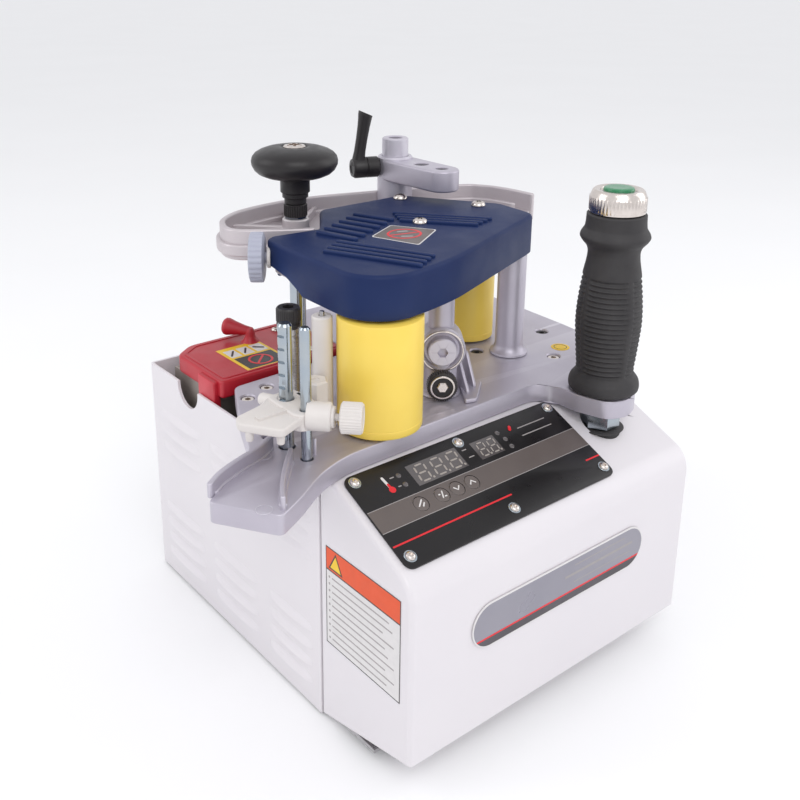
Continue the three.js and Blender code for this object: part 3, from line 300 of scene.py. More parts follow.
def collar(base, axis, radius, bore, z0, z1, edge=0.4, sides=64):
    """Round sleeve with a through bore and rounded rims."""
    return turned(base, axis, [
        (bore, z0 + edge), (bore + edge * 0.5, z0), (radius - edge, z0), (radius, z0 + edge),
        (radius, z1 - edge), (radius - edge, z1), (bore + edge * 0.5, z1), (bore, z1 - edge),
        (bore, z0 + edge),
    ], sides)


def rounded(corners, steps=6):
    """Outline through (x, y, radius) corners, each rounded by a smooth curve."""
    outline = []
    count = len(corners)
    for i, (x, y, radius) in enumerate(corners):
        here = Vector((x, y))
        before = Vector(corners[i - 1][:2])
        after = Vector(corners[(i + 1) % count][:2])
        enter = here + (before - here).normalized() * radius
        leave = here + (after - here).normalized() * radius
        for step in range(steps + 1):
            t = step / steps
            p = enter * (1 - t) ** 2 + here * 2 * t * (1 - t) + leave * t ** 2
            outline.append((p.x, p.y))
    return outline


def arc(x, y, radius, degrees):
    """Points on a circle at the given angles."""
    return [(x + radius * math.cos(math.radians(a)), y + radius * math.sin(math.radians(a)))
            for a in degrees]


def circle(x, y, radius, sides=40):
    """Closed round outline."""
    return [(x + radius * math.cos(2 * math.pi * i / sides),
             y + radius * math.sin(2 * math.pi * i / sides)) for i in range(sides)]


def strip(path, width, rounds=5):
    """Outline of an even strip along a path, with round ends."""
    points = [Vector(p) for p in path]
    half = width / 2
    left, right = [], []
    for i, p in enumerate(points):
        along = (points[min(i + 1, len(points) - 1)] - points[max(i - 1, 0)]).normalized()
        side = Vector((-along.y, along.x)) * half
        left.append(p + side)
        right.append(p - side)

    def cap(centre, start):
        return [centre + Matrix.Rotation(-math.pi * k / rounds, 2) @ start
                for k in range(1, rounds)]

    end = cap(points[-1], left[-1] - points[-1])
    begin = cap(points[0], right[0] - points[0])
    return [tuple(p) for p in [*left, *end, *reversed(right), *begin]]


def smooth_path(path, steps=5):
    """Catmull-Rom curve through the path's points."""
    points = [Vector(p) for p in path]
    points = [points[0] * 2 - points[1], *points, points[-1] * 2 - points[-2]]
    out = []
    for a, b, c, d in zip(points, points[1:], points[2:], points[3:]):
        for k in range(steps):
            t = k / steps
            out.append(0.5 * (2 * b + (c - a) * t + (2 * a - 5 * b + 4 * c - d) * t * t
                              + (3 * b - a - 3 * c + d) * t ** 3))
    return [tuple(p) for p in [*out, points[-2]]]


def plate(loops, z0, z1, bevel=0.6, rounds=2, transform=None):
    """Flat plate from closed loops, the first its outline and the rest its holes."""
    curve = bpy.data.curves.new("plate", "CURVE")
    curve.dimensions = "2D"
    curve.fill_mode = "BOTH"
    for loop in loops:
        spline = curve.splines.new("POLY")
        spline.points.add(len(loop) - 1)
        for point, (x, y) in zip(spline.points, loop):
            point.co = (x, y, 0, 1)
        spline.use_cyclic_u = True
    curve.extrude = (z1 - z0) / 2 - bevel
    curve.bevel_depth = bevel
    curve.bevel_resolution = rounds
    curve.offset = -bevel
    holder = placed("plate", curve)
    bm = final_shape(holder)
    bpy.data.objects.remove(holder)
    bpy.data.curves.remove(curve)
    bmesh.ops.remove_doubles(bm, verts=bm.verts, dist=1e-3)
    bmesh.ops.translate(bm, verts=bm.verts, vec=(0, 0, (z0 + z1) / 2))
    bm.transform(transform or IN_CASING)
    return bm


def lying(origin, x_axis, y_axis):
    """Matrix from a local millimetre plane to the model's metres."""
    x_axis, y_axis = Vector(x_axis).normalized(), Vector(y_axis).normalized()
    z_axis = x_axis.cross(y_axis)
    turn = Matrix((x_axis, y_axis, z_axis)).transposed().to_4x4()
    return Matrix.Translation(origin) @ turn @ Matrix.Scale(MM, 4)


IN_CASING = lying(at(0, 0, 0), (1, 0, 0), (0, 1, 0))
TILT = math.radians(24.6)
PANEL_BASE_Z = 133.1
ON_SLOPE = lying(at(0, 0, PANEL_BASE_Z), (1, 0, 0), (0, math.cos(TILT), math.sin(TILT)))
ON_FRONT = lying(at(0, 0, 0), (1, 0, 0), (0, 0, 1))
ON_LEFT = lying(at(0, 0, 0), (0, -1, 0), (0, 0, 1))       # local x runs towards the front
SLOPE_NORMAL = (0, -math.sin(TILT), math.cos(TILT))


def on_slope(x, s, n=0.0):
    """Point on the control panel's slope: s runs up it and n stands off it."""
    return ON_SLOPE @ Vector((x, s, n))


def carve(bm, *cutters):
    """Cuts closed shapes out of a closed shape."""
    def holder(source):
        bmesh.ops.recalc_face_normals(source, faces=source.faces)
        return placed("carve", mesh_from("carve", source))

    body = holder(bm)
    tools = [holder(cutter) for cutter in cutters]
    for tool in tools:
        mod = body.modifiers.new("cut", "BOOLEAN")
        mod.operation = "DIFFERENCE"
        mod.solver = "EXACT"
        mod.object = tool
    out = final_shape(body)
    for obj in [body, *tools]:
        bpy.data.objects.remove(obj)
    return out


# ---- camera, floor and lights ----

CAMERA_AZIMUTH = math.radians(-37.91)
CAMERA_ELEVATION = math.radians(18)
CAMERA_PLACE = (-280.8, -318.3, 434.9)
FOCAL_LENGTH = 989.3 / 800        # in widths of the picture
SENSOR = 36

camera = placed("camera", bpy.data.cameras.new("camera"))
camera.location = at(*CAMERA_PLACE)
back = Vector((
    math.sin(CAMERA_AZIMUTH) * math.cos(CAMERA_ELEVATION),
    -math.cos(CAMERA_AZIMUTH) * math.cos(CAMERA_ELEVATION),
    math.sin(CAMERA_ELEVATION),
))
camera.rotation_mode = "QUATERNION"
camera.rotation_quaternion = (-back).to_track_quat("-Z", "Y")
camera.data.sensor_width = SENSOR
camera.data.lens = FOCAL_LENGTH * SENSOR
camera.data.shift_x = 0.05
camera.data.shift_y = -0.15
camera.data.clip_start = 0.01
bpy.context.scene.camera = camera


FLOOR_REACH = 40
floor_grid = bmesh.new()
bmesh.ops.create_grid(floor_grid, x_segments=2, y_segments=2, size=FLOOR_REACH)
floor = placed("floor", mesh_from("floor", floor_grid))
floor.data.materials.append(
    surface("pale_floor", (0.93, 0.93, 0.935), 0.8, mottle=3, spread=0.1, bump=0.02))

world = bpy.data.worlds.new("studio")
bpy.context.scene.world = world
world.use_nodes = True
sky = world.node_tree.nodes["Background"].inputs
sky["Color"].default_value = (0.97, 0.975, 1.0, 1)
sky["Strength"].default_value = 0.9


def softbox(name, place, target, size, power):
    """Large rectangular lamp aimed at a point."""
    light = bpy.data.lights.new(name, "AREA")
    light.shape = "RECTANGLE"
    light.size, light.size_y = size
    light.energy = power
    obj = placed(name, light)
    obj.location = place
    aim = Vector(target) - Vector(place)
    obj.rotation_mode = "QUATERNION"
    obj.rotation_quaternion = aim.to_track_quat("-Z", "Y")


softbox("key", (-0.55, -1.1, 1.35), (0, 0, 0.15), (1.0, 1.0), 8)
softbox("fill", (1.3, -0.7, 0.8), (0, 0, 0.15), (0.9, 1.2), 4)
softbox("rim", (-1.2, 0.8, 1.0), (0, 0, 0.2), (0.8, 1.0), 4)

bpy.context.scene.view_settings.view_transform = "Standard"

# ---- casing ----

CASING_WIDTH, CASING_DEPTH, CASING_TOP = 235, 284, 163.3
SEAM = 80                  # where the front cover meets the rear casing
LOUVRE_COLUMNS = [(88, 136), (148, 204), (216, 272)]
LOUVRE_ROWS = [(130, 3), (56, 4)]


def block(x0, x1, y0, y1, z0, z1):
    """Plain box, used to cut and to fill."""
    bm = bmesh.new()
    bmesh.ops.create_cube(bm, size=1)
    size = Matrix.Diagonal(((x1 - x0) * MM, (y1 - y0) * MM, (z1 - z0) * MM, 1))
    bm.transform(Matrix.Translation(at((x0 + x1) / 2, (y0 + y1) / 2, (z0 + z1) / 2)) @ size)
    return bm


def gill(y0, y1, z, side):
    """Pressed louvre: a shallow hood that swells out of the wall and is cut off below."""
    bm = bmesh.new()
    face_x = 0 if side < 0 else CASING_WIDTH
    columns, rows = 22, 6
    hood = []
    for i in range(columns + 1):
        u = i / columns
        rise = math.sin(math.pi * u) ** 0.45 if 0 < u < 1 else 0
        line = []
        for j in range(rows + 1):
            v = j / rows
            out = -0.3 + 2.7 * rise * math.sin(v * math.pi / 2) ** 1.6
            line.append(bm.verts.new(
                at(face_x + side * out, y0 + (y1 - y0) * u, z + 5.5 - 6.5 * v)))
        line.append(bm.verts.new(at(face_x - side * 0.3, y0 + (y1 - y0) * u, z - 1.4)))
        hood.append(line)
    for a, b in zip(hood, hood[1:]):
        for j in range(rows + 1):
            bm.faces.new((a[j], a[j + 1], b[j + 1], b[j]))
        bm.faces.new((a[0], b[0], b[-1], a[-1]))
    bm.faces.new(hood[0])
    bm.faces.new(hood[-1][::-1])
    return bm


wall_plan = rounded([
    (0, SEAM, 0.3), (0, CASING_DEPTH, 2.6), (CASING_WIDTH, CASING_DEPTH, 2.6),
    (CASING_WIDTH, SEAM, 0.3), (CASING_WIDTH - 2, SEAM, 0.3),
    (CASING_WIDTH - 2, CASING_DEPTH - 2, 1), (2, CASING_DEPTH - 2, 1), (2, SEAM, 0.3),
], 4)
notch = rod(at(0, 229.5, CASING_TOP - 1.5), (1, 0, 0), 13.5, -5, 5, 0.1)
walls = carve(
    plate([wall_plan], 2, CASING_TOP, 0.3),
    notch, block(-5, 5, 216, 243, CASING_TOP - 1.6, CASING_TOP + 9),
    block(158, 186, 280, 290, 36, 56), block(125.5, 138.5, 280, 290, 36, 56),
)
gills = [
    gill(y0, y1, z - i * 12.4, side)
    for side in (-1, 1) for y0, y1 in LOUVRE_COLUMNS
    for z, count in LOUVRE_ROWS for i in range(count)
]
piece("casing_walls", join(walls, *gills), PAINT, node="rear_casing")

BEND, BEND_Z = 18, PANEL_BASE_Z - 18 * math.tan((math.pi / 2 - TILT) / 2)


def cover_profile(inset, below=0):
    """Side outline of the front cover in (Y, Z), without repeated points."""
    radius = BEND - inset
    bend = arc(BEND, BEND_Z, radius, range(180, 114, -5))
    top = CASING_TOP - inset
    crest = (top - PANEL_BASE_Z + inset / math.cos(TILT)) / math.tan(TILT)
    back_y = SEAM - 0.3 + (20 if inset else 0)
    points = [(back_y, 2 - below), *rounded([(inset, 21 - below, 0.5)], 1), *bend,
              (crest - 2.5, top - 2.5 * math.tan(TILT)), (crest + 1, top - 0.2), (crest + 4, top),
              (back_y, top)]
    return [p for i, p in enumerate(points) if math.dist(p, points[i - 1]) > 0.05]


ALONG_X = lying(at(0, 0, 0), (0, 1, 0), (0, 0, 1))
shell = plate([cover_profile(0)], 0, CASING_WIDTH, 3, 5, ALONG_X)
hollow = plate([cover_profile(2, 40)], 2, CASING_WIDTH - 2, 0.01, 0, ALONG_X)
socket = rod(at(194, 41, 0), UP, 12.8, 120, 180, 0.1)
flat_back = block(-5, 240, SEAM - 0.3, SEAM + 8, -5, 200)
piece("front_cover_shell", carve(shell, hollow, socket, flat_back), PAINT,
      node="front_cover", angle=24)

for corner in ("front_left", "front_right", "rear_left", "rear_right"):
    low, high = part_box("foot_" + corner)
    centre = Vector(((low.x + high.x) / 2, (low.y + high.y) / 2, 0))
    piece("rubber_foot_" + corner, turned(centre, UP, [
        (0, 0), (7, 0), (7.5, 0.5), (8.8, 5), (8.6, 6), (3.4, 6), (3, 5.2), (0, 5.2),
    ]), RUBBER, node="foot_" + corner)

# ---- control panel ----

FACE = 1.7                 # height of the overlay's printed face above the slope
KEYS = [38, 53.4, 64.9, 76.4]
KEY_S = 41.2


def printed(name, loops, mat, low=FACE - 0.05, high=FACE + 0.08, body="machine", plane=ON_SLOPE):
    """Thin printed shape between two heights over a plane."""
    piece(name, plate(loops, low, high, 0.02, 0, plane), mat, body)


def rectangle(x0, x1, y0, y1):
    """Closed four-sided outline."""
    return [(x0, y0), (x1, y0), (x1, y1), (x0, y1)]


key_holes = [circle(x, KEY_S, 4.9) for x in KEYS]
piece("panel_overlay", plate(
    [rounded([(5.2, 9.5, 6), (170.2, 9.5, 6), (170.2, 73.1, 6), (5.2, 73.1, 6)], 8), *key_holes],
    0.3, FACE, 0.2, 2, ON_SLOPE), FILM, node="control_overlay")
printed("panel_grey_band", [rectangle(5.4, 170, 33.5, 48), *key_holes], FILM_GREY)
for i, s in enumerate((33.5, 48)):
    printed(f"panel_band_line_{i + 1}", [rectangle(5.4, 170, s - 0.2, s + 0.2)], PRINT_GREY,
            high=FACE + 0.1)
for i, (x0, x1) in enumerate(((5.6, 93.3), (157.8, 169.9))):
    printed(f"panel_red_line_{i + 1}", [rectangle(x0, x1, 24, 25)], PRINT_RED)
for i, (x0, x1, s0, s1) in enumerate(((45, 83, 51.4, 66), (94, 112.8, 51.6, 64.6))):
    printed(f"display_window_{i + 1}", [rectangle(x0, x1, s0, s1)], WINDOW)


def slanted(points, x0, s0, width, height, lean=0.12):
    """Outline in a unit square, scaled and leant like a display digit."""
    return [(x0 + px * width + py * height * lean, s0 + py * height) for px, py in points]


def digit(x0, s0, width, height):
    """The seven segments of one display digit, as separate outlines."""
    w = 0.16
    bars = [((0.12, 0), (0.88, 0)), ((0.12, 0.5), (0.88, 0.5)), ((0.12, 1), (0.88, 1))]
    posts = [((0, 0.06), (0, 0.44)), ((1, 0.06), (1, 0.44)),
             ((0, 0.56), (0, 0.94)), ((1, 0.56), (1, 0.94))]
    loops = []
    for (ax, ay), (bx, by) in bars:
        loops.append(slanted([(ax, ay), (ax + 0.1, ay - w / 3.4), (bx - 0.1, by - w / 3.4), (bx, by),
                              (bx - 0.1, by + w / 3.4), (ax + 0.1, ay + w / 3.4)],
                             x0, s0, width, height))
    for (ax, ay), (bx, by) in posts:
        loops.append(slanted([(ax, ay), (ax + w / 2, ay + 0.06), (bx + w / 2, by - 0.06), (bx, by),
                              (bx - w / 2, by - 0.06), (ax - w / 2, ay + 0.06)],
                             x0, s0, width, height))
    loops.append(circle(x0 + width * 1.24, s0 + 0.2, 0.75, 16))
    return loops


digits = [(48.6, 53.2, 7.2, 11), (60.6, 53.2, 7.2, 11), (72.6, 53.2, 7.2, 11),
          (96.6, 53.3, 5.2, 9.4), (105, 53.3, 5.2, 9.4)]
piece("display_segments", join(*[
    plate([loop], FACE, FACE + 0.14, 0.02, 0, ON_SLOPE)
    for spot in digits for loop in digit(*spot)
]), DIGIT)

piece("thermometer_stem", plate([strip([(28.1, 58), (27.4, 64.4)], 1.7)], FACE, FACE + 0.12,
                                0.02, 0, ON_SLOPE), PRINT_WHITE)
piece("thermometer_bulb", plate([circle(28.5, 55.6, 2.1)], FACE, FACE + 0.14, 0.02, 0, ON_SLOPE),
      PRINT_RED)
printed("thermometer_fill", [strip([(28.4, 56.5), (28.1, 59.4)], 1.7)], PRINT_RED,
        high=FACE + 0.13)
lamps = [(37.8, 62.4), (37.9, 55.7), (117.4, 64.4), (119.2, 58.6), (119.3, 52.6)]
for i, (x, s) in enumerate(lamps):
    piece(f"indicator_lamp_{i + 1}", turned(on_slope(x, s, FACE), SLOPE_NORMAL,
          [(0, -0.1), (1.7, -0.1), (1.6, 0.15), (0.9, 0.4), (0, 0.5)], 28), WINDOW)
piece("red_lamp", plate([strip([(127.2, 63.4), (128.5, 65.2)], 2)], FACE, FACE + 0.3, 0.1, 1,
                        ON_SLOPE), PRINT_RED)
dashes = [(133, 62.3, 24), (132, 56.4, 26), (86, 62, 3.4), (87, 56.2, 4.2), (31.6, 62.6, 3),
          (33, 55.9, 2.2)]
printed("panel_marks", [rectangle(x, x + w, s - 0.35, s + 0.35) for x, s, w in dashes],
        PRINT_GREY)

key_marks = [
    [[(-2.2, -1.2), (1.6, 2)], [(0.2, -2), (2, -0.2)]],
    [[(-0.6, -2), (1.2, 2)], [(1.2, -1.6), (2.2, -1.6)], [(-2, 0.6), (-1.2, 0.6)]],
    [[(-1.9, 1), (0, -1.1), (1.9, 1)]],
    [[(-1.9, -1), (0, 1.1), (1.9, -1)]],
]
for i, x in enumerate(KEYS):
    body = f"key_{i + 1}"
    piece(f"key_dome_{i + 1}", turned(on_slope(x, KEY_S, 0), SLOPE_NORMAL, [
        (0, 0.5), (4.5, 0.5), (4.6, 0.6), (4.6, 1.6), (4.3, 1.85), (3.2, 1.9), (0, 1.84),
    ]), KEY_FILM, body, f"membrane_key_{i + 1}")
    piece(f"key_mark_{i + 1}", join(*[
        plate([strip([(x + px, KEY_S + ps) for px, ps in path], 0.85, 3)], 1.8, 2.0, 0.02, 0,
              ON_SLOPE)
        for path in key_marks[i]
    ]), PRINT_WHITE, body)


def socket_screw(name, base, axis, radius, height, body="machine"):
    """Button-head screw with a hexagonal socket."""
    head = carve(
        turned(base, axis, [
            (0, -0.2), (radius * 0.96, -0.2), (radius, 0.25), (radius * 0.97, height * 0.35),
            (radius * 0.8, height * 0.78), (radius * 0.56, height), (0, height * 1.02),
        ], 40),
        peg(base, axis, radius * 0.4, height * 0.4, height * 1.5),
    )
    piece(name, head, NICKEL, body)


for i, (x, s) in enumerate([(x, s) for s in (68, 16.3) for x in (11, 88, 165.5)]):
    piece(f"panel_washer_{i + 1}", collar(on_slope(x, s, 0), SLOPE_NORMAL, 3.7, 1.6,
                                          FACE - 0.05, FACE + 0.35, 0.12, 40), ZINC)
    socket_screw(f"panel_screw_{i + 1}", on_slope(x, s, FACE + 0.3), SLOPE_NORMAL, 2.9, 1.5)

# ---- badge and side label ----


def stadium(inset, low=None, high=None):
    """Badge outline moved inward, and cut off below or above a height."""
    x0, x1, z0, z1 = 43.4 + inset, 190.4 - inset, 73.4 + inset, 101.8 - inset
    radius = (z1 - z0) / 2
    middle = (z0 + z1) / 2
    points = [*arc(x1 - radius, middle, radius, range(-90, 91, 6)),
              *arc(x0 + radius, middle, radius, range(90, 271, 6))]
    out = []
    for a, b in zip(points, points[1:] + points[:1]):
        for limit, keep_above in ((low, True), (high, False)):
            if limit is None:
                continue
            if (a[1] - limit) * (b[1] - limit) < 0:
                t = (limit - a[1]) / (b[1] - a[1])
                out.append((a[0] + (b[0] - a[0]) * t, limit))
        inside = (low is None or b[1] > low) and (high is None or b[1] < high)
        if inside:
            out.append(b)
    return out


piece("badge_rim", plate([stadium(0)], 0.3, 1.15, 0.2, 2, ON_FRONT), PRINT_WHITE,
      node="name_badge")
badge_bars = [rectangle(126, 172, 96.3, 97), rectangle(118, 180, 90.2, 91.8),
              rectangle(126, 178, 84.9, 85.5)]
for name, loops, mat, low, high in (
    ("upper", [stadium(0.9, low=80.3)], BADGE_LILAC, 1.1, 1.22),
    ("red_line", [stadium(0.9, low=79.1, high=80.3)], PRINT_RED, 1.1, 1.23),
    ("lower", [stadium(0.9, high=79.1)], BADGE_BLACK, 1.1, 1.22),
    ("bars", badge_bars, PRINT_GREY, 1.2, 1.26),
):
    printed("badge_" + name, loops, mat, low, high, plane=ON_FRONT)

label = [(-73.2, 58.6), (-7.8, 58.6), (-7.8, 122.6), (-73.2, 122.6)]
piece("side_label_sheet", plate([label], 0, 0.25, 0.03, 0, ON_LEFT), PRINT_WHITE)
lines = []
for row in range(10):
    z = 103.6 - row * 4.5
    end = -12 - random.random() * 16
    lines.append(circle(-70, z, 0.8, 10))
    lines.append(rectangle(-67.6, end, z - 0.45, z + 0.45))
for name, loops, mat, low, high in (
    ("frame", [label, rectangle(-72.6, -8.4, 59.2, 122)], PRINT_BLACK, 0.2, 0.3),
    ("band", [rectangle(-72.6, -8.4, 108.3, 122)], PRINT_ORANGE, 0.2, 0.32),
    ("rule", [rectangle(-72.6, -8.4, 107.6, 108.4)], PRINT_BLACK, 0.2, 0.34),
    ("triangle_rim", [[(-70.5, 109.4), (-57.5, 109.4), (-64, 121)]], PRINT_BLACK, 0.3, 0.36),
    ("triangle", [[(-68.9, 110.3), (-59.1, 110.3), (-64, 119.2)]], PRINT_YELLOW, 0.34, 0.4),
    ("lines", lines, PRINT_GREY, 0.2, 0.3),
):
    printed("side_label_" + name, loops, mat, low, high, plane=ON_LEFT)

# ---- cast table ----

TABLE_TOP, TABLE_BOTTOM = 175.5, 163.6
SEAT = 175.8               # height at which the posts and the grip stand on the table
TABLE_OUTLINE = [
    (-72.5, 74, 4), (-50, 40, 4), (-32, 49, 8), (-10, 63, 10), (12, 70, 10), (167, 73, 10),
    (174.5, 60, 6), (174, 46, 4), (180, 25, 6), (194, 20, 6), (209, 26, 6), (216, 42, 6),
    (222, 60, 10), (256, 76, 10), (264, 130, 10), (268, 200, 10), (268, 279, 8), (108, 279, 6),
    (108, 190, 6), (40, 188, 5), (11, 187, 5), (-9, 147, 8), (-26, 108, 10), (-42, 94, 6),
]
PLATE_SCREWS = [(176, 136), (240, 134), (211, 97), (28, 175), (9.5, 168)]
FRONT_ROLLER, REAR_ROLLER, HANDLE = (51, 89), (191, 163), (194, 41)
ROD_BACK, ROD_FRONT = (-7, 99.5), (-6.5, 81)

table_holes = [
    circle(*FRONT_ROLLER, 5.3, 32), circle(*REAR_ROLLER, 5.3, 32), circle(14, 127, 6.6, 32),
    circle(24, 108, 1.8, 24), circle(*HANDLE, 9.3, 40), circle(*ROD_BACK, 4.7, 32),
    circle(*ROD_FRONT, 3.5, 32), circle(-9, 116, 3.6, 32),
]
top_plate = carve(
    plate([rounded(TABLE_OUTLINE, 8), *table_holes], TABLE_BOTTOM, TABLE_TOP, 0.9, 3),
    *[upright(x, y, [(0, TABLE_TOP - 4), (4.4, TABLE_TOP - 4), (4.4, TABLE_TOP - 0.8),
                               (5.4, TABLE_TOP + 0.2), (5.4, TABLE_TOP + 2), (0, TABLE_TOP + 2)], 40)
      for x, y in PLATE_SCREWS],
)
fence = smooth_path([(-68, 78.6), (-57, 86), (-42, 92.2), (-27, 97), (-15, 104)], 6)
fin = smooth_path([(-46, 45), (-39, 56), (-27, 71), (-15, 84)], 6)


def cast_rib(path, width, top=TABLE_TOP + 7.5):
    """Upright cast rib with a wider root where it meets the plate."""
    return join(
        plate([strip(path, width, 8)], TABLE_TOP - 1, top, 0.7, 3),
        plate([strip(path[2:-1], width + 2, 8)], TABLE_TOP - 1.5, TABLE_TOP + 1.1, 0.9, 3),
    )


table_rings = [collar(at(x, y, 0), UP, 4.6, 3.9, TABLE_TOP - 0.2, TABLE_TOP + 0.16, 0.08, 48)
               for x, y in ((-53.7, 50.5), (-24, 97.6))]
stop_pin = rod(at(-0.5, 82, 0), UP, 1.1, TABLE_TOP - 1, TABLE_TOP + 10, 0.4, 24)
piece("table_casting", join(top_plate, cast_rib(fence, 3), cast_rib(fin, 2.6), *table_rings,
                            stop_pin), CAST, node="cast_table")

for i, (x, y) in enumerate(PLATE_SCREWS):
    head = carve(
        upright(x, y, [(0, 171.5), (3.9, 171.5), (4.1, 171.8), (4.1, 174.1),
                                 (3.7, 174.5), (0, 174.5)], 36),
        peg(at(x, y, 0), UP, 2, 172.4, 176),
    )
    # The first two table screws take the near-black painted recess shade, the rest are nickel.
    piece(f"table_screw_{i + 1}", head, RECESS_SHADE if i < 2 else NICKEL)
piece("table_sticker", upright(227, 105, [
    (0, TABLE_TOP - 0.1), (6.4, TABLE_TOP - 0.1), (6.5, TABLE_TOP + 0.12), (6.3, TABLE_TOP + 0.2),
    (0, TABLE_TOP + 0.2)], 48), PRINT_YELLOW)
piece("table_sticker_mark", plate([circle(227, 105, 4.6), circle(227, 105, 4.1),
                                   ], TABLE_TOP + 0.15, TABLE_TOP + 0.26, 0.02, 0), PRINT_BLACK)

# ---- rollers ----

for name, (x, y), radius, body in (
    ("front_roller", FRONT_ROLLER, 25, "front_roller"),
    ("rear_roller", REAR_ROLLER, 19, "rear_roller"),
):
    piece(name + "_rubber", upright(x, y, [
        (14.3, 177.8), (14.8, 177), (radius - 1.1, 177), (radius - 0.35, 177.35), (radius, 178.1),
        (radius, 181.6), (radius - 0.18, 181.8), (radius - 0.18, 182.1), (radius, 182.3),
        (radius + 0.05, 211), (radius, 243.9), (radius - 0.35, 244.65), (radius - 1.1, 245),
        (14.8, 245), (14.3, 244.2), (14.3, 177.8),
    ], 128), YELLOW, body, name + "_sleeve")
    piece(name + "_core", upright(x, y, [
        (0, 104), (5, 104), (5, 178), (13.6, 178), (14, 178.4), (14, 243.4), (13.4, 244),
        (8.4, 244), (8, 245.6), (5, 246), (5, 262.4), (4.4, 263), (0, 263),
    ], 64), STEEL, body, name + "_shaft")

piece("tape_guide_roller", collar(at(24, 108, 0), UP, 6, 1.9, 177, 244, 0.7), NYLON,
      "guide_roller", "guide_roller")
piece("tape_guide_pin", rod(at(24, 108, 0), UP, 1.5, 165, 246.6, 0.4), STEEL,
      node="guide_roller_pin")

glue_base = at(14, 127, 0)
piece("glue_spreader", turned(glue_base, UP, [
    (0, 100), (3, 100), (3, 149.6), (5.4, 150), (6, 150.6), (6, 176.6), (5.7, 177), (5.7, 177.6),
    (6, 178), (6, 228), (5.6, 228.5), (5.6, 229.5), (6, 230), (6, 233.4), (5.4, 234), (0, 234),
], 56), STEEL, "glue_roller", "glue_roller")
piece("glue_spreader_cap", carve(
    turned(glue_base, UP, [
        (0, 234.3), (6.4, 234.3), (7, 234.9), (7, 236.4), (6.6, 236.8), (6.6, 237.2), (7, 237.6),
        (7, 245), (6.3, 246), (0, 246),
    ], 96, lambda turn, radius, height: 0.16 * math.cos(turn * 32) if 237.5 < height < 245.1 else 0),
    peg(glue_base, UP, 3.6, 240, 247),
), BLACK, "glue_roller", "glue_roller_cap")

# ---- glue pot lid ----

LID_OUTLINE = [(5.5, 193, 3), (104, 193, 3), (104, 261, 4), (92, 262.5, 4), (20, 262.5, 5),
               (5.5, 252, 5)]
NOSE_AXIS = (-9, 14, 1.5)
lid_plate = plate([rounded(LID_OUTLINE, 8)], 166, 178, 1.6, 4)
lid_tab = plate([rounded([(-219, 156, 2.4), (-198, 156, 2.4), (-198, 176.5, 1),
                          (-219, 176.5, 1)], 5)], -7.6, -2.4, 1.1, 3, ON_LEFT)
lid_stem = upright(58, 243, [
    (0, 177), (7, 177), (6.4, 178.4), (4.9, 179.8), (4, 181.6), (3.5, 184), (3.3, 186.4),
    (2.2, 188), (0, 188.5)], 40)
lid_nose = turned(at(58, 243, 185.5), NOSE_AXIS, [
    (0, -2.4), (2.4, -2), (3.1, 0), (3.5, 4), (4.2, 8), (5, 12), (5.8, 15), (6.2, 17), (6, 18.6),
    (5, 19.8), (3, 20.6), (0, 20.8),
], 56)
lid_knuckle = rod(at(0, 266, 170), (1, 0, 0), 3.6, 40, 78, 0.5)
lid_web = plate([rounded([(42, 259, 1), (76, 259, 1), (76, 266, 1), (42, 266, 1)], 3)],
                168, 172, 0.5, 2)
lid_rim = plate([rounded([(9, 196.5, 3), (100.5, 196.5, 3), (100.5, 258, 3), (90, 259, 3),
                          (22, 259, 4), (9, 250, 4)], 6),
                 rounded([(11, 198.5, 2), (98.5, 198.5, 2), (98.5, 256, 2), (89, 257, 2),
                          (23, 257, 3), (11, 249, 3)], 6)], 177.4, 178.5, 0.3, 2)
piece("glue_lid", join(lid_plate, lid_tab, lid_stem, lid_nose, lid_knuckle, lid_web, lid_rim), RED,
      "pot_lid", "pot_lid")
lid_label = [(29, 241), (62.5, 241), (62.5, 198), (29, 198)]
label_panels = [rectangle(x0, x1, 223, 236)
                for x0, x1 in ((31.5, 39.6), (41.6, 49.8), (51.8, 60.5))]
label_marks = [strip([(33, 226), (38, 233)], 1.4), strip([(43.4, 226), (48, 233)], 1.4),
               strip([(54, 231.5), (58.6, 227.4)], 2.4)]
for name, loops, mat, low, high in (
    ("", [lid_label], PRINT_YELLOW, 177.9, 178.2),
    ("_panels", label_panels, PRINT_WHITE, 178.1, 178.3),
    ("_marks", label_marks, PRINT_BLACK, 178.2, 178.4),
    ("_field", [rectangle(31.5, 60.5, 200, 220.6)], PRINT_BLACK, 178.1, 178.28),
    ("_ring", [circle(46, 210.3, 8.6), circle(46, 210.3, 7)], PRINT_RED, 178.2, 178.4),
    ("_bar", [strip([(40.6, 204.9), (51.4, 215.7)], 1.5)], PRINT_RED, 178.2, 178.42),
):
    printed("lid_label" + name, loops, mat, low, high, "pot_lid", IN_CASING)
for i, (x, y) in enumerate(((84, 203), (84, 250))):
    socket_screw(f"lid_screw_{i + 1}", at(x, y, 178), UP, 3.2, 2, "pot_lid")

# ---- tape cutter ----

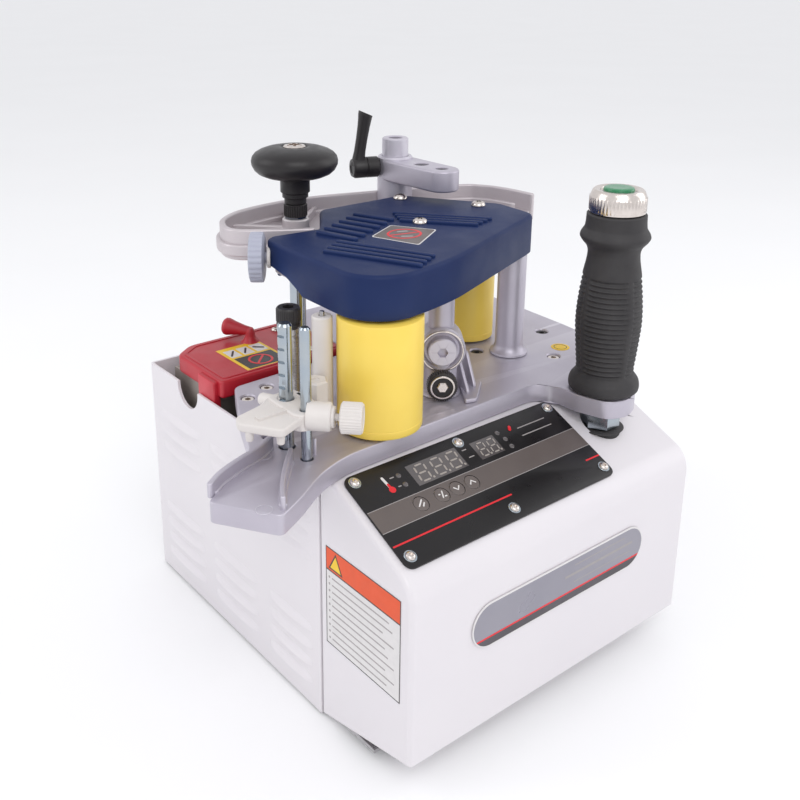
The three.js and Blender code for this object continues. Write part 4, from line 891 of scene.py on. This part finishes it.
CUTTER_AXIS = (-0.6, -0.8, 0)
boss_centre, wheel_centre = at(110, 102, 207), at(110, 102, 185.8)
cutter_column = upright(110, 102, [
    (0, SEAT), (13, SEAT), (13.2, 176.4), (12.2, 177.6), (10.8, 178.8), (10.5, 180), (10.5, 197.5),
    (10, 199.4), (8.6, 200.4), (8, 202), (8, 245.4), (7.4, 246), (0, 246),
], 64)
cutter_boss = carve(
    turned(boss_centre, CUTTER_AXIS, [
        (0, -8), (13.6, -8), (14.5, -7), (14.5, 9.3), (13.7, 10.3), (12, 10.3), (11.2, 9.6),
        (10.8, 8.2), (9.4, 8.2), (9, 8.8), (9, 13.2), (8.3, 14), (0, 14),
    ], 80),
    peg(boss_centre, CUTTER_AXIS, 3.4, 11, 20),
)
piece("cutter_column", join(cutter_column, cutter_boss), CAST, node="cutter_bracket")
piece("cutter_spring_ring", collar(boss_centre, CUTTER_AXIS, 13.4, 12.2, 10.2, 11.4, 0.4), NICKEL)
piece("tension_wheel_knurled", turned(wheel_centre, CUTTER_AXIS, [
    (0, 5), (2, 5), (2, 10.9), (8.4, 10.9), (9.2, 11.5), (9.2, 17.2), (8.4, 17.9), (6.9, 17.9),
    (6.5, 17.2), (0, 17.2),
], 168, knurl(0.3, 42, 9)),
      BLACK, "tension_wheel", "tension_wheel")
piece("tension_wheel_rim", collar(wheel_centre, CUTTER_AXIS, 7.6, 6.4, 17.1, 18.4, 0.3), NICKEL,
      "tension_wheel")
piece("tension_wheel_hub", turned(wheel_centre, CUTTER_AXIS, [
    (0, 17), (3.6, 17), (3.6, 18), (3, 18.6), (0, 18.6)], 6), NICKEL, "tension_wheel")

blade_foot = plate([rounded([(109, 77.6, 2), (117, 75.5, 2), (137, 92, 2), (137, 108.5, 2),
                             (122, 108.5, 2), (122, 96, 3)], 5)], SEAT, 178.5, 0.6, 2)


def blade(start, tip, height):
    """Upright cutter blade from its heel to its tip."""
    (x, y), (tip_x, tip_y) = start, tip
    length = math.hypot(tip_x - x, tip_y - y)
    side = lying(at(x, y, 177.5), (tip_x - x, tip_y - y, 0), UP)
    outline = rounded([(0, 0, 0.5), (length, 0, 0.6), (length, 2.4, 1.2), (6, height, 3),
                       (0, height, 1.5)], 5)
    return plate([outline], -1, 1, 0.5, 2, side)


piece("tape_blade_pair", join(blade_foot, blade((127, 107), (117.5, 84), 20),
                              blade((134, 107), (127.5, 88.5), 20)), CAST,
      node="tape_blades")

# ---- tape guide and its rods ----


def notched_rod():
    """Round rod with a row of flat notches cut in its left side."""
    x, y = ROD_BACK
    bar = upright(x, y, [
        (0, TABLE_BOTTOM), (4, TABLE_BOTTOM), (4, 247.6), (3, 249), (0, 249)], 64)
    cuts = []
    z = TABLE_TOP + 6
    while z < 243:
        cuts.append(block(x - 5.4, x - 2.4, y - 5, y + 5, z, z + 3))
        z += 7.5
    return carve(bar, *cuts)


piece("guide_rack_rod", notched_rod(), ZINC, node="rack_rod")
piece("guide_plain_rod", upright(*ROD_FRONT, [
    (0, TABLE_BOTTOM), (3, TABLE_BOTTOM), (3, 250.9), (2.1, 252), (0, 252)], 56), ZINC,
      node="guide_rod")

BLOCK_OUTLINE = [(-43, 91, 3), (-40, 99, 3), (-20, 104, 4), (-13, 110, 4), (3, 109, 5),
                 (5, 90, 5), (-2, 74, 4), (-14, 76, 3), (-29, 70, 3)]
BLOCK_CORE = [(-16, 80, 2.4), (-15, 108, 5), (3, 109, 5), (5, 90, 5), (-2, 74, 4), (-13, 75, 2.4)]
KNOB_CENTRE, KNOB_AXIS = at(10, 62, 202), (1, -1, 0)
rod_holes = [circle(*ROD_BACK, 4.3, 48), circle(*ROD_FRONT, 3.3, 40)]
block_body = plate([rounded(BLOCK_OUTLINE, 7), *rod_holes], 198.5, 203.5, 1.1, 4)
block_core = plate([rounded(BLOCK_CORE, 7), *rod_holes], 195, 205, 1.3, 4)
block_web = block(-33, -12, 86.5, 90.5, 202, 204.8)
block_horn = turned(at(-9, 104, 201), (-5, 11, 0), [
    (0, -2), (3.8, -2), (3.6, 11), (3, 12), (2, 12.1), (1.8, 11.4), (0, 11.4)], 40)
block_barrel = turned(KNOB_CENTRE, KNOB_AXIS, [
    (0, -24), (8, -24), (8, -12), (7.4, -11), (6, -10.6), (6, -9.4), (5.4, -9), (2.6, -9),
    (2.4, -9.6), (0, -9.6)], 56)
block_arm = plate([rounded([(0, 96, 1), (14, 96, 1), (14, 102, 1), (0, 102, 1)], 3)],
                  197, 205, 0.8, 3)
block_pad = upright(12.6, 99, [
    (0, 197), (6.8, 197), (7.4, 197.6), (7.4, 210), (6.4, 211), (2.6, 211), (2.4, 210.2),
    (0, 210.2)], 6)
prongs = [upright(x, y, [(0, 193), (1.5, 193), (2, 193.5), (2.2, 195), (2.4, 199.5),
                                   (0, 199.5)], 28) for x, y in ((-38, 88), (-27, 75))]
piece("guide_body", join(block_body, block_core, block_web, block_horn, block_barrel,
                         block_arm, block_pad, *prongs), NYLON, "guide",
      "guide_block")
knob = turned(KNOB_CENTRE, KNOB_AXIS, [
    (0, -14), (2, -14), (2, -6), (7.6, -6), (8.5, -5.2), (8.5, 4.9), (7.8, 6), (7, 6), (6.6, 5.6),
    (0, 5.4),
], 160, knurl(0.2, 32, 8.3))
slot_plane = lying(KNOB_CENTRE, (1, 1, 0), UP)
slot_cut = plate([strip([(-3.4, -3.4), (3.4, 3.4)], 2)], 4.2, 9, 0.01, 0, slot_plane)
piece("guide_knob_knurled", carve(knob, slot_cut), NYLON, "guide_knob",
      "guide_knob")

# ---- blue roller guard ----


def curve_to(points, control, end, steps=7):
    """Adds a curve from the outline's last point, bent by a control point."""
    x0, y0 = points[-1]
    for k in range(1, steps + 1):
        t = k / steps
        points.append(tuple(
            a * (1 - t) ** 2 + c * 2 * t * (1 - t) + b * t * t
            for a, c, b in ((x0, control[0], end[0]), (y0, control[1], end[1]))))


def guard_outline():
    """Outline of the guard over the rollers, counter-clockwise from its left side."""
    points = [(28.6, 164), (26.6, 100), *arc(54, 95, 27.5, range(184, 281, 6))]
    curve_to(points, (85, 71), (104, 77.5))
    points.append((199, 113.5))
    curve_to(points, (206, 116.5), (207, 124))
    points.append((209, 148))
    curve_to(points, (209.2, 152.5), (206, 157))
    points.append((174.5, 208))
    curve_to(points, (171, 214), (165, 214))
    points.append((102, 214))
    curve_to(points, (97, 213), (95, 208))
    curve_to(points, (84, 191), (71, 176))
    points.append((68, 174.2))
    points.append((38, 177.6))
    curve_to(points, (29, 177), (28.6, 164))
    return points[:-1]


def moved_in(points, inset):
    """Outline moved inward by the same distance all round."""
    out = []
    for i, (x, y) in enumerate(points):
        ax, ay = points[i - 1]
        bx, by = points[(i + 1) % len(points)]
        before = Vector((x - ax, y - ay)).normalized()
        after = Vector((bx - x, by - y)).normalized()
        inward = Vector((-before.y - after.y, before.x + after.x))
        inward *= inset / (1 + before.dot(after))
        out.append((x + inward.x, y + inward.y))
    return out


def shell_from(points, levels):
    """Lofts an outline through (inset, height) levels and closes both ends."""
    bm = bmesh.new()
    rows = [[bm.verts.new(at(x, y, z)) for x, y in moved_in(points, inset)] for inset, z in levels]
    for low, high in zip(rows, rows[1:]):
        for i in range(len(low)):
            n = (i + 1) % len(low)
            bm.faces.new((low[i], low[n], high[n], high[i]))
    ends = [bm.faces.new(rows[0][::-1]), bm.faces.new(rows[-1])]
    bmesh.ops.triangulate(bm, faces=ends)
    return bm


GUARD = guard_outline()
GUARD_FACE = 272.9
REAR_RELIEF = [(66, 178), (72, 170), (102, 206), (165, 206), (199, 141), (218, 146), (182, 224),
               (92, 224)]
guard_levels = [(2.6, 270), (2.6, 247.6), (2.2, 247), (0.5, 247), (0, 247.6), (0, 270.4)]
guard_levels += [(2.6 - 2.6 * math.cos(math.radians(a)), 270.4 + 2.6 * math.sin(math.radians(a)))
                 for a in (18, 36, 54, 72, 90)]
CORNER_RELIEF = [(125, 240), (135, 249), (150, 255), (166, 257.5), (192, 257.5), (192, 240)]
guard_shell = carve(shell_from(GUARD, guard_levels),
                    plate([REAR_RELIEF], 240, 260.5, 0.01, 0),
                    plate([rounded([(y, z, 2) for y, z in CORNER_RELIEF], 5)], 20, 40, 0.01, 0,
                          ALONG_X))


def rib_rows(first, last, count, width):
    """Parallel raised ribs, spaced evenly from the first rib to the last."""
    rows = []
    for i in range(count):
        t = i / (count - 1)
        ends = [tuple(Vector(a).lerp(Vector(b), t)) for a, b in zip(first, last)]
        rows.append(plate([strip(ends, width, 4)], 272.4, 274.9, 0.7, 3))
    return rows


guard_ribs = [
    *rib_rows(((130.2, 172.1), (169.4, 122.4)), ((121.8, 155), (152.3, 117.4)), 4, 3),
    *rib_rows(((108.2, 185.2), (117.8, 161)), ((63, 163.6), (70.3, 137.9)), 6, 4.6),
    *rib_rows(((59.1, 138.8), (83.9, 82.7)), ((41.4, 127.7), (66.2, 73.5)), 4, 3.6),
]
piece("guard_cover", join(guard_shell, *guard_ribs), BLUE, node="roller_guard", angle=40)


def star_screw(name, base, radius, height):
    """Pan-head screw with a cross recess."""
    head = turned(base, UP, [
        (0, 0), (radius * 0.97, 0), (radius, 0.3), (radius * 0.98, height * 0.35),
        (radius * 0.86, height * 0.7), (radius * 0.6, height * 0.93), (radius * 0.3, height),
        (0, height),
    ], 44)
    arm = radius * 0.52
    cuts = []
    for turn in (20, 80, 140):
        direction = (math.cos(math.radians(turn)), math.sin(math.radians(turn)), 0)
        across = lying(base, direction, Vector(UP).cross(Vector(direction)))
        cuts.append(plate([rectangle(-arm, arm, -0.5, 0.5)], height * 0.45, height * 1.4, 0.01, 0,
                          across))
    piece(name, carve(head, *cuts), NICKEL)


for i, (x, y) in enumerate(((162, 204), (191, 155), (128.5, 144.5))):
    star_screw(f"guard_screw_{i + 1}", at(x, y, GUARD_FACE), 4.9, 3.6)

sign = [(83, 138.5), (110.4, 152.6), (126.6, 125.6), (94.2, 105.8)]
sign_middle = tuple(sum(p[k] for p in sign) / 4 for k in (0, 1))
sign_face = rounded([(x, y, 2.2) for x, y in sign], 4)


def sign_scaled(factor):
    """The guard's label outline, scaled about its middle."""
    return [(sign_middle[0] + (x - sign_middle[0]) * factor,
             sign_middle[1] + (y - sign_middle[1]) * factor) for x, y in sign_face]


along, over = Vector((14.4, -25.4)).normalized(), Vector((30.6, 15.4)).normalized()


def on_sign(u, v):
    """Point on the guard's label, in its own slanted axes."""
    p = Vector(sign_middle) + over * u + along * v
    return (p.x, p.y)


def sign_ring(radius_u, radius_v):
    """Ring outline stretched to the slanted sign."""
    return [on_sign(radius_u * math.cos(2 * math.pi * k / 48),
                    radius_v * math.sin(2 * math.pi * k / 48)) for k in range(48)]


sign_marks = [strip([on_sign(-6, 1.5), on_sign(-3.5, 6)], 2.4),
              strip([on_sign(3.2, -5.2), on_sign(6.4, -1.4)], 2.4)]
for name, loops, mat, low, high in (
    ("", [sign_scaled(0.98)], PRINT_WHITE, GUARD_FACE, 273.12),
    ("_field", [sign_scaled(0.93)], FILM_GREY, 273.05, 273.18),
    ("_ring", [sign_ring(11.6, 10.6), sign_ring(10, 9.1)], PRINT_RED, 273.1, 273.26),
    ("_bar", [strip([on_sign(-7.3, -6.8), on_sign(7.3, 6.8)], 1.5)], PRINT_RED, 273.1, 273.27),
    ("_marks", sign_marks, PRINT_GREY, 273.1, 273.22),
):
    printed("guard_sign" + name, loops, mat, low, high, plane=IN_CASING)

WHEEL_AXIS = (0.79, -0.61, 0)
wheel_base = at(24.5, 175.5, 262)
piece("thumbwheel_scalloped", turned(wheel_base, WHEEL_AXIS, [
    (0, -3.4), (9.5, -3.4), (10.5, -4.1), (13.4, -4.5), (15, -3.9), (15.2, -2.5), (15.2, 2.5),
    (15, 3.9), (13.4, 4.5), (4.5, 4.5), (3.4, 5), (3, 6), (3, 9.5), (0, 9.5),
], 200, lambda turn, radius, height: 0.55 * abs(math.sin(turn * 13)) - 0.25 if radius > 14 else 0),
      GREY, "thumbwheel", "thumbwheel")
piece("thumbwheel_spacer",
      collar(at(31.4, 170.2, 262), WHEEL_AXIS, 6.6, 3.4, -2.6, -0.4, 0.4), NYLON)

# ---- cast head with the tape tray ----

rim_path = smooth_path([(69, 181), (48, 193.5), (32, 204.5), (27.4, 213), (29.5, 224), (38, 237),
                        (57, 248.6), (88, 254), (120, 252), (163, 240), (228, 217.5), (243, 205),
                        (250, 187), (252, 162)], 6)
KNOB, POST = (78, 212), (192, 121.5)
tray_holes = [circle(*FRONT_ROLLER, 5.3, 32), circle(*REAR_ROLLER, 5.3, 32), circle(*KNOB, 4.3, 32)]
bridge = plate([moved_in(GUARD, 4.2), *tray_holes[:2]], 252, 260, 0.5, 2)
floor_outline = [*rim_path, (203, 148), (165, 205.5), (101, 205.5)]
tray_floor = plate([floor_outline, tray_holes[2]], 252, 259, 0.8, 3)
tray_wall = plate([strip(rim_path, 4, 8)], 252, 272, 1.2, 4)
tray_step = plate([strip(rim_path[4:-4], 9, 6)], 255, 262.5, 1.2, 3)
spokes = [plate([strip([KNOB, end], 3.2, 6)], 254, 265, 0.9, 3)
          for end in ((31, 217), (48, 243), (95, 250), (60, 190), (120, 250))]
hub = upright(*KNOB, [
    (4.3, 252), (12.5, 252), (12.5, 260), (11, 261.2), (9.6, 263), (9, 266), (9, 270.2), (8.2, 271),
    (4.8, 271), (4.3, 270.4), (4.3, 252)], 64)
post_pad = peg(at(*POST, 0), UP, 7, 247, 261, 32)
piece("tape_head", join(bridge, tray_floor, tray_wall, tray_step, hub, *spokes, post_pad),
      TRAY_CAST, node="head_casting")

piece("head_post", upright(*POST, [
    (0, SEAT), (12.6, SEAT), (13, 176.2), (12.8, 177.4), (11.4, 178.6), (10.1, 180.4), (9.5, 183),
    (9.5, 245.9), (8.8, 246.7), (0, 246.7)], 72), CAST, node="right_post")
piece("head_post_slim", upright(42.5, 159, [
    (0, SEAT), (6.4, SEAT), (6.6, 176.2), (6.6, 179), (6.2, 179.4), (4.9, 179.4), (4.9, 251),
    (4.4, 251.7), (0, 251.7)], 48), ZINC, node="left_post")

# ---- tape reel knob ----

knob_base = at(*KNOB, 0)
piece("reel_spindle", join(
    turned(knob_base, UP, [
        (0, 245), (3.6, 245), (4, 245.4), (4, 271.3), (7, 271.3), (7.2, 271.5), (7.2, 272.4),
        (4, 272.6), (4, 292), (0, 292),
    ], 64),
    turned(knob_base, UP, [
        (0, 245.4), (6.4, 245.4), (7, 246), (7, 251), (6.4, 251.6), (0, 251.6)], 6),
), ZINC, "reel_knob", "knob_spindle")
piece("reel_spindle_collar", turned(knob_base, UP, [
    (4.2, 272.5), (7.2, 272.5), (7.6, GUARD_FACE), (7.6, 280.3), (7.2, 280.7), (4.2, 280.7), (4.2, 272.5),
], 120, knurl(0.22, 30, 7.4)), BLACK,
      "reel_knob")
piece("reel_knob_head", turned(knob_base, UP, [
    (4.4, 281), (6.8, 281), (7.3, 281.5), (7.3, 284.6), (7.9, 285.2), (8.6, 285.4), (8.6, 288),
    (9.8, 289), (9.8, 296), (10.6, 298), (12, 298.8), (20, 299.8), (24, 301.6), (26.6, 304),
    (28.2, 307.2), (28.5, 309.8), (27.8, 312.4), (26, 314.6), (23, 316.4), (19, 317.8), (14.5, 318.7),
    (11, 319), (9.2, 318.9), (8.2, 318.2), (7.6, 318), (0, 318),
], 112), BLACK, "reel_knob", "reel_knob")
piece("reel_knob_star", carve(
    turned(knob_base, UP, [(0, 317.6), (7.3, 317.6), (7.3, 318.8), (6.6, 319.6), (4.4, 320), (0, 320)],
           90),
    turned(knob_base, UP, [(0, 318.4), (4.2, 318.4), (4.2, 321), (0, 321)], 60,
           knurl(1.5, 6, 1)),
), NICKEL, "reel_knob")

# ---- clamp post, arm and lever ----

CLAMP = (177, 228)
clamp_base = at(*CLAMP, 0)
piece("clamp_post", carve(
    turned(clamp_base, UP, [
        (0, 260.3), (9.5, 260.3), (9.5, 311.2), (8.7, 312), (5.6, 312), (5, 311.4), (5, 306),
        (0, 306)], 72),
    peg(clamp_base, UP, 3.4, 301, 309),
), CAST, node="clamp_tube")

# Plug sunk in the post's bore, in the near-black painted recess shade.
piece("clamp_post_plug", carve(
    rod(clamp_base, UP, 4.9, 304, 309.6, 0.4, 48),
    peg(clamp_base, UP, 2.9, 306.5, 311),
), RECESS_SHADE)

arm_outline = [*arc(*CLAMP, 12.8, range(0, 181, 6)), *arc(178, 178, 11.5, range(180, 361, 6))]
arm_bores = [
    upright(x, y, [(0, 291), (r, 291), (r, 296.4), (wide, 297.3), (wide, 300), (0, 300)], 40)
    for x, y, r, wide in ((178, 179, 4.6, 5.4), (177, 199, 5.2, 6))
]
clamp_bore = peg(clamp_base, UP, 9.8, 250, 320, 72)
clamp_collar = turned(clamp_base, UP, [
    (0, 261), (12.2, 261), (12.8, 261.6), (12.8, 297.8), (11.8, 299), (0, 299)], 80)
LEVER_AXIS = Vector((-0.94, 0.342, 0))
lever_base = at(*CLAMP, 291.5)
lever_lug = rod(lever_base, LEVER_AXIS, 6, 8, 13, 0.5)
piece("clamp_casting", join(
    carve(plate([arm_outline], 282, 297, 1.6, 4), clamp_bore.copy(), *arm_bores),
    carve(join(clamp_collar, lever_lug), clamp_bore),
), CAST, "clamp_arm", "clamp_arm")
for i, (x, y, radius) in enumerate(((178, 179, 4.2), (177, 199, 4.8))):
    head = carve(
        upright(x, y, [(0, 291.1), (radius, 291.1), (radius, 295), (radius - 0.5, 295.6),
                                 (0, 295.6)], 40),
        peg(at(x, y, 0), UP, 2.2, 292.6, 297),
    )
    # Screw heads sunk in the arm's counterbores, in the near-black painted recess shade.
    piece(f"clamp_arm_screw_{i + 1}", head, RECESS_SHADE, "clamp_arm")


def lever_point(reach, rise=0.0):
    """Point beside the clamp post, out along the lever's axis and up."""
    return lever_base + (LEVER_AXIS * reach + Vector((0, 0, rise))) * MM


lever_hub = turned(lever_base, LEVER_AXIS, [
    (0, 10.2), (3, 10.2), (3, 13.3), (6.6, 13.3), (7.5, 14.1), (7.5, 22), (7.1, 22.5), (7.5, 23),
    (7.5, 31), (6.2, 33), (4.2, 33), (3.8, 32.4), (0, 32.4)], 64)
stem_axis = lever_point(22, 42) - lever_point(28.5, 3)
lever_stem = turned(lever_point(28.5, 3), stem_axis, [
    (0, -1), (5.6, -1), (4.7, 3), (4.2, 9), (4.2, 18), (4.5, 27), (5, 33), (5.4, 36), (5.4, 39),
    (4.8, 39.8), (0, 39.8)], 40)
lever_top = block(-20, 20, -20, 20, 0, 12)        # slices the lever's end at a slant
lever_top.transform(Matrix.Translation(lever_point(21.5, 38.5)) @ Matrix.Rotation(
    math.radians(-24), 4, Vector(UP).cross(LEVER_AXIS)) @ Matrix.Translation(-at(0, 0, 0)))
piece("clamp_handle", join(
    lever_hub, carve(lever_stem, lever_top)), BLACK, "clamp_lever",
      "clamp_lever")

# ---- handle with the feed button ----

handle_base = at(*HANDLE, 0)
piece("handle_stem", join(
    rod(handle_base, UP, 9, 140, 290, 0.5, 56),
    turned(handle_base, UP, [
        (0, 151), (10.6, 151), (12, 152), (12, 162.2), (10.8, 163.2), (0, 163.2)], 6),
    peg(handle_base, UP, 11.4, 163.1, 163.5, 48),
), ZINC, node="handle_tube")

GRIP_PROFILE = [(17.5, 0), (21.5, 2.2), (21.3, 8), (18, 13.2), (18.6, 24), (19.8, 38), (20.3, 47.2),
                (19.6, 60), (17.6, 77), (15.7, 88.9), (16.6, 94), (20.4, 99), (20.8, 101.5),
                (18.4, 106), (17.8, 114.8)]
GRIP_RIBS = (12.5, 76, 20)        # from, to, count


def grip_radius(rise):
    """Smooth grip profile through the given points."""
    points = [GRIP_PROFILE[0], *GRIP_PROFILE, GRIP_PROFILE[-1]]
    for i in range(1, len(points) - 2):
        (ra, ya), (rb, yb), (rc, yc), (rd, yd) = points[i - 1:i + 3]
        if yb <= rise <= yc:
            t = (rise - yb) / (yc - yb)
            return 0.5 * (2 * rb + (rc - ra) * t + (2 * ra - 5 * rb + 4 * rc - rd) * t * t
                          + (3 * rb - ra - 3 * rc + rd) * t ** 3)
    return GRIP_PROFILE[-1][0]


def grip_groove(turn, radius, height):
    """Depth of the grooves between the ribs, which stop at four plain upright strips."""
    start, end, count = GRIP_RIBS
    rise = height - SEAT
    if radius < 12 or not start < rise < end:
        return 0
    wave = math.sin(math.pi * count * (rise - start) / (end - start)) ** 2
    lane = abs((turn + math.radians(12)) % (math.pi / 2) - math.pi / 4)
    fade = min(1, max(0, (math.radians(40) - lane) / math.radians(3)))
    return -1.15 * wave ** 0.7 * fade


rows = [0.4 * i for i in range(288)]
grip_rows = [(9.4, SEAT), (16.6, SEAT)]
grip_rows += [(grip_radius(rise), SEAT + rise) for rise in rows if 0.4 <= rise <= 114]
grip_rows += [(17.2, 290.4), (16.6, 290.6), (9.4, 290.6), (9.4, SEAT)]
piece("handle_grip_ribbed", turned(handle_base, UP, grip_rows, 120, grip_groove), RUBBER,
      node="handle_grip", angle=60)

piece("handle_ring", turned(handle_base, UP, [
    (3.6, 291), (16, 291), (16.7, 291.5), (16.7, 292.2), (17, 292.6), (17, 300.6), (16.6, 301),
    (16.2, 302.2), (15.3, 304.2), (14.4, 305), (11.4, 305), (10.8, 304.6), (10.2, 303.4), (9.5, 303.2),
    (9.5, 293.7), (3.6, 293.7), (3.6, 291),
], 192, lambda turn, radius, height: -0.32 * (0.5 + 0.5 * math.cos(turn * 48)) ** 2
      if radius > 16.8 else 0), NICKEL, node="button_bezel")
piece("feed_button_cap", turned(handle_base, UP, [
    (0, 290), (3, 290), (3, 297), (8.8, 297), (9.2, 297.4), (9.2, 305), (8.9, 305.7), (8.2, 306.1),
    (6, 306.2), (3, 306.05), (0, 306)], 64), GREEN, "feed_button", "feed_button")
piece("handle_bush", turned(handle_base, UP, [
    (9.3, 140), (12.5, 140), (12.5, 149), (14.6, 149.8), (15, 150.2), (14.4, 150.6), (9.3, 150.6),
    (9.3, 140)], 64), RUBBER, node="handle_grommet")

# ---- CAD pieces that stay as they are ----

FINISHES = {
    "casing_paint": PAINT, "cast_aluminium": CAST, "zinc": ZINC, "steel": STEEL,
    "dark_steel": POT_IRON, "guard_blue": BLUE, "roller_rubber": YELLOW, "lid_red": RED,
    "white_nylon": NYLON, "black_plastic": BLACK, "black_rubber": RUBBER, "grey_plastic": GREY,
    "panel_film": FILM, "key_film": KEY_FILM, "button_green": GREEN, "circuit_board": BOARD,
    "belt_rubber": BELT,
}
for row in frame["record"]["subparts"]:
    mesh = frame["nodes"][row["node"]].data
    mesh.materials.clear()
    mesh.materials.append(FINISHES[row["material_slot"]])
